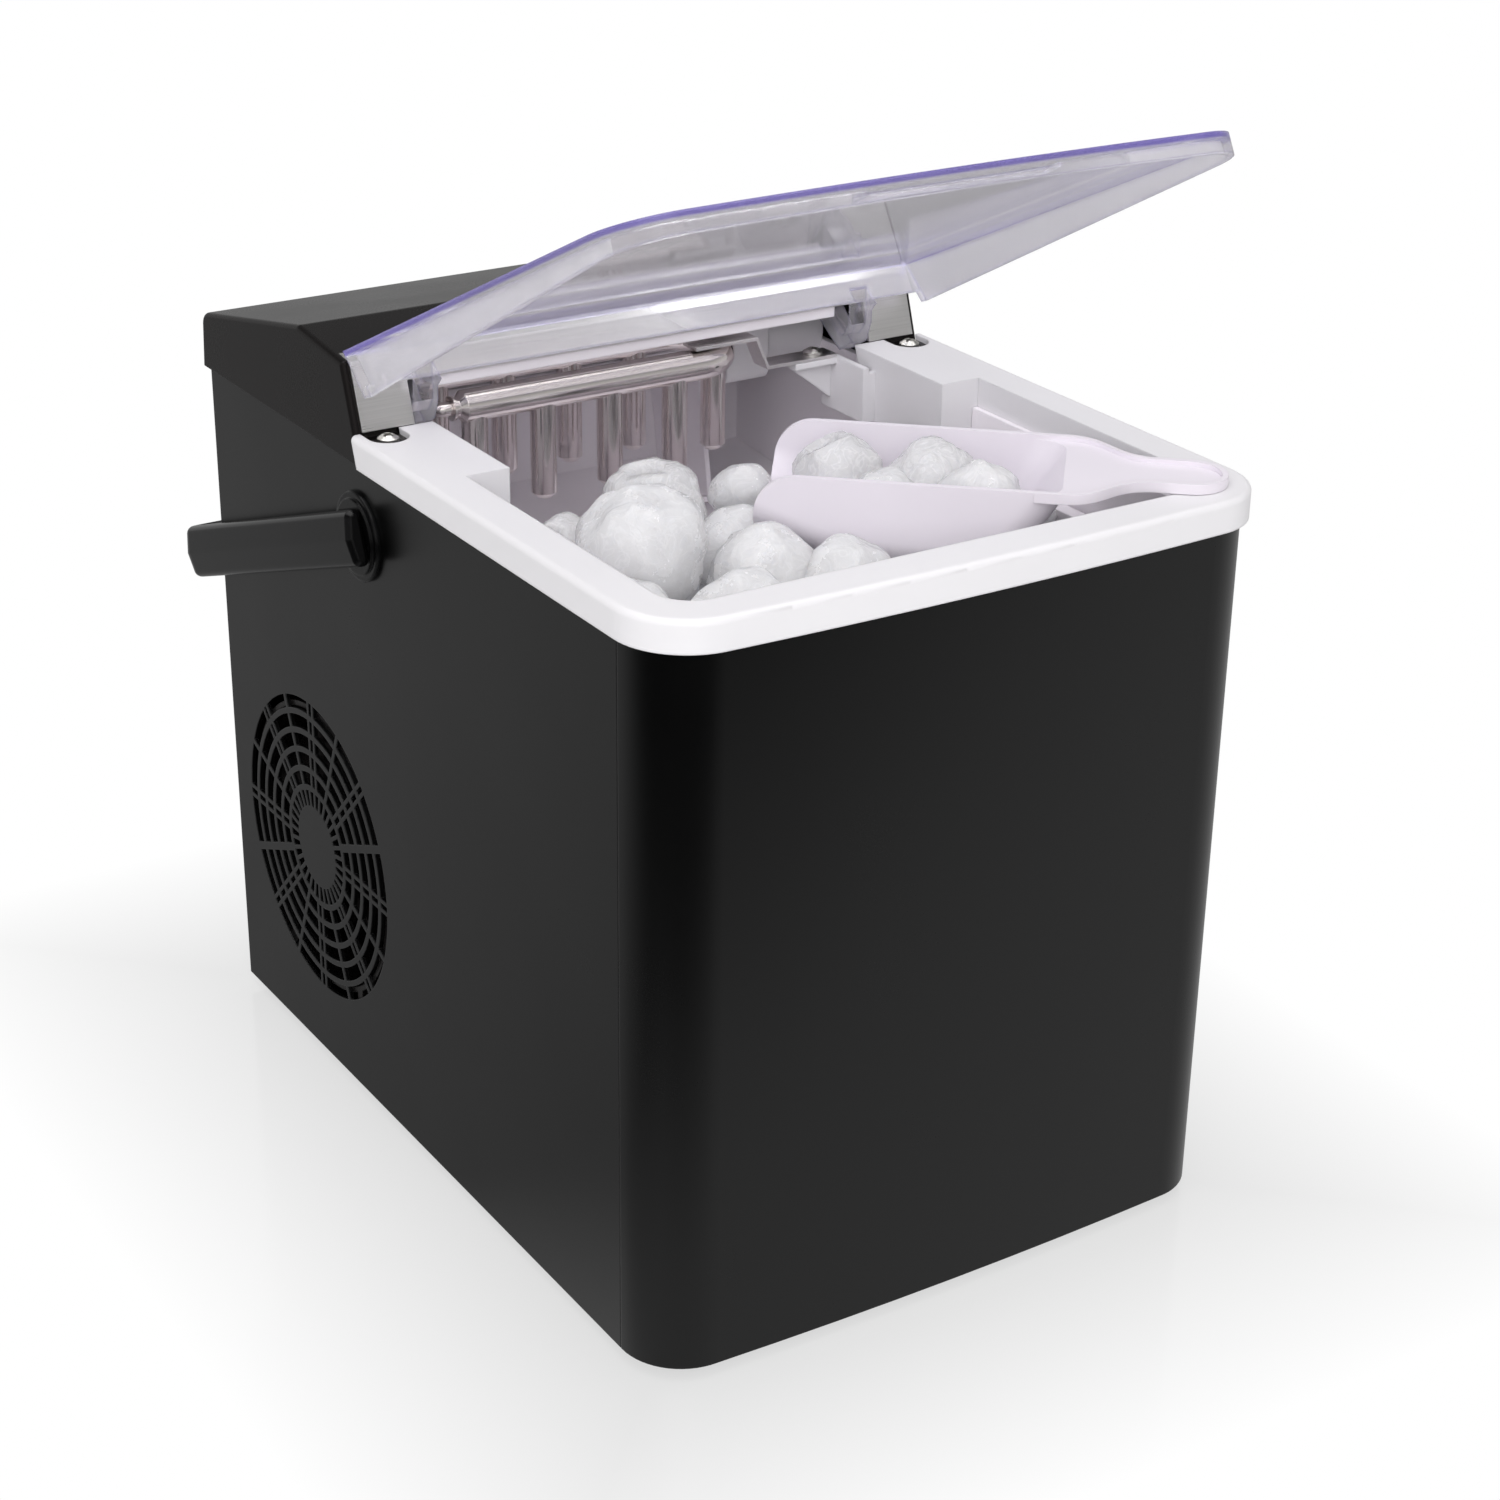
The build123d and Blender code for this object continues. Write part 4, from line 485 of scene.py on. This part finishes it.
def fillScoop(s):
    for count, ((along, across), radius, tilt, finish) in enumerate(scoopIce):
        x = s["lip"][0] + s["along"][0] * along * s["long"] + s["across"][0] * across * s["wide"]
        y = s["lip"][1] + s["along"][1] * along * s["long"] + s["across"][1] * across * s["wide"]
        place = (x, y, s["floor"] + radius)
        placeIce("scoopIce.%02d" % count, place, radius, tilt, s["seed"] + count, finish, "scoop")


fillBin(lowIceSet)
fillScoop(scoopPlace)
print("ice laid")


# Floor, world and lamps
floorSet = {"size": 6.0, "white": 0.90, "shine": 0.26, "fade": 0.115, "rough": 0.10, "veil": 0.86,
            "gloss": 0.55, "dark": 0.02, "rear": 0.46, "near": 0.24, "far": 0.50, "towards": (-0.61, -0.79),
            "matte": 0.6, "half": (0.112, 0.155), "back": (0.54, 0.84), "dim": (-0.06, 0.05), "lift": (0.08, 0.5),
            "lifted": 0.16}
worldSet = {"level": 0.66, "seen": 1.0, "horizon": 0.52, "middle": 0.15, "above": 2.6,
            "box": 1.0, "boxAt": (-0.44, -0.68, 0.588), "boxRim": (0.86, 0.95), "fall": (0.08, 0.55),
            "roof": (0.74, 0.86)}
lampSet = {"overhead": {"at": (-0.40, -0.40, 1.55), "aim": (0, -0.05, 0.2), "size": (1.1, 1.1), "power": 8.6},
           "frontFill": {"at": (-0.75, -1.20, 0.95), "aim": (0, 0, 0.2), "size": (1.0, 1.0), "power": 8.8},
           "rightBox": {"at": (0.95, -1.25, 0.9), "aim": (0, 0, 0.15), "size": (0.9, 1.2), "power": 1.2}}


def seesGround(tree):  # rays that meet plain white, and glossy rays, which meet the graded studio
    rays = put(tree, "LightPath").outputs
    return math2(tree, "MAXIMUM", rays["Is Camera Ray"], rays["Is Transmission Ray"]), rays["Is Glossy Ray"]


def makeFloor(s):
    mesh = bpy.data.meshes.new("studioFloor")
    h = s["size"] / 2
    mesh.from_pydata([(-h, -h, 0), (h, -h, 0), (h, h, 0), (-h, h, 0)], [], [(0, 1, 2, 3)])
    floor = bpy.data.objects.new("studioFloor", mesh)
    scene.collection.objects.link(floor)
    mat, tree, shader, out = startMaterial("studio_floor")
    shader.inputs["Base Color"].default_value = solidColour((s["white"],) * 3)
    shader.inputs["Roughness"].default_value = s["matte"]
    shader.inputs["Specular IOR Level"].default_value = 0.0
    where = put(tree, "SeparateXYZ", Vector=put(tree, "TexCoord").outputs["Object"]).outputs
    acrossX = math2(tree, "SUBTRACT", math2(tree, "ABSOLUTE", where[0], 0.0), s["half"][0])
    acrossY = math2(tree, "SUBTRACT", math2(tree, "ABSOLUTE", where[1], 0.0), s["half"][1])
    away = math2(tree, "MAXIMUM", math2(tree, "MAXIMUM", acrossX, acrossY), 0.0)
    shine = remap(tree, away, 0.0, s["fade"], s["shine"], 0.0)
    mirror = put(tree, "BsdfGlossy", Color=(1, 1, 1, 1), Roughness=s["rough"])
    white = put(tree, "Emission", Color=(1, 1, 1, 1), Strength=1.0)
    shown = put(tree, "MixShader", in0=shine, in1=white.outputs[0], in2=mirror.outputs[0])
    seen, gloss = seesGround(tree)
    veil = math2(tree, "MULTIPLY", seen, remap(tree, away, 0.0, s["fade"], s["veil"], 1.0))
    mix = put(tree, "MixShader", in0=veil, in1=shader.outputs[0], in2=shown.outputs[0])
    along = math2(tree, "ADD", math2(tree, "MULTIPLY", where[0], s["towards"][0]),
                  math2(tree, "MULTIPLY", where[1], s["towards"][1]))
    level = remap(tree, along, s["near"], s["far"], s["gloss"], s["dark"])  # the table ends on the camera's side
    behind = math2(tree, "SUBTRACT", math2(tree, "MULTIPLY", where[1], s["back"][1]),
                   math2(tree, "MULTIPLY", where[0], s["back"][0]))
    beside = math2(tree, "ADD", remap(tree, behind, *s["dim"], 1.0, s["rear"]),
                   remap(tree, behind, *s["lift"], 0.0, s["lifted"]))
    level = math2(tree, "MULTIPLY", level, beside)
    table = put(tree, "Emission", Color=(1, 1, 1, 1), Strength=level)
    both = put(tree, "MixShader", in0=gloss, in1=mix.outputs[0], in2=table.outputs[0])
    tree.links.new(both.outputs[0], out.inputs["Surface"])
    mesh.materials.append(mat)


def makeWorld(s):
    world = bpy.data.worlds.new("studioWorld")
    world.use_nodes = True
    tree = world.node_tree
    tree.nodes.clear()
    seen, gloss = seesGround(tree)
    up = put(tree, "SeparateXYZ", Vector=put(tree, "TexCoord").outputs["Generated"]).outputs[2]
    falling = remap(tree, up, *s["fall"], s["horizon"], s["middle"])
    tent = math2(tree, "ADD", falling, remap(tree, up, *s["roof"], 0.0, s["above"]))
    ahead = put(tree, "VectorMath", {"operation": "DOT_PRODUCT"}, in0=put(tree, "TexCoord").outputs["Generated"],
                in1=s["boxAt"]).outputs["Value"]
    tent = math2(tree, "ADD", tent, remap(tree, ahead, *s["boxRim"], 0.0, s["box"]))
    plain = remap(tree, seen, 0.0, 1.0, s["level"], s["seen"])
    strength = put(tree, "Mix", {"data_type": "FLOAT"}, in0=gloss, in2=plain, in3=tent).outputs[0]
    sky = put(tree, "Background", Color=(1, 1, 1, 1), Strength=strength)
    put(tree, "OutputWorld", Surface=sky.outputs[0])
    scene.world = world


def makeLamp(name, s):
    data = bpy.data.lights.new(name, "AREA")
    data.shape = "RECTANGLE"
    data.size, data.size_y = s["size"]
    data.energy = s["power"]
    lamp = bpy.data.objects.new(name, data)
    lamp.location = s["at"]
    lamp.rotation_euler = (Vector(s["aim"]) - Vector(s["at"])).to_track_quat("-Z", "Y").to_euler()
    lamp.visible_glossy = False
    scene.collection.objects.link(lamp)


makeFloor(floorSet)
makeWorld(worldSet)
for lampName, lampValues in lampSet.items():
    makeLamp(lampName, lampValues)
print("floor, world and lamps set")
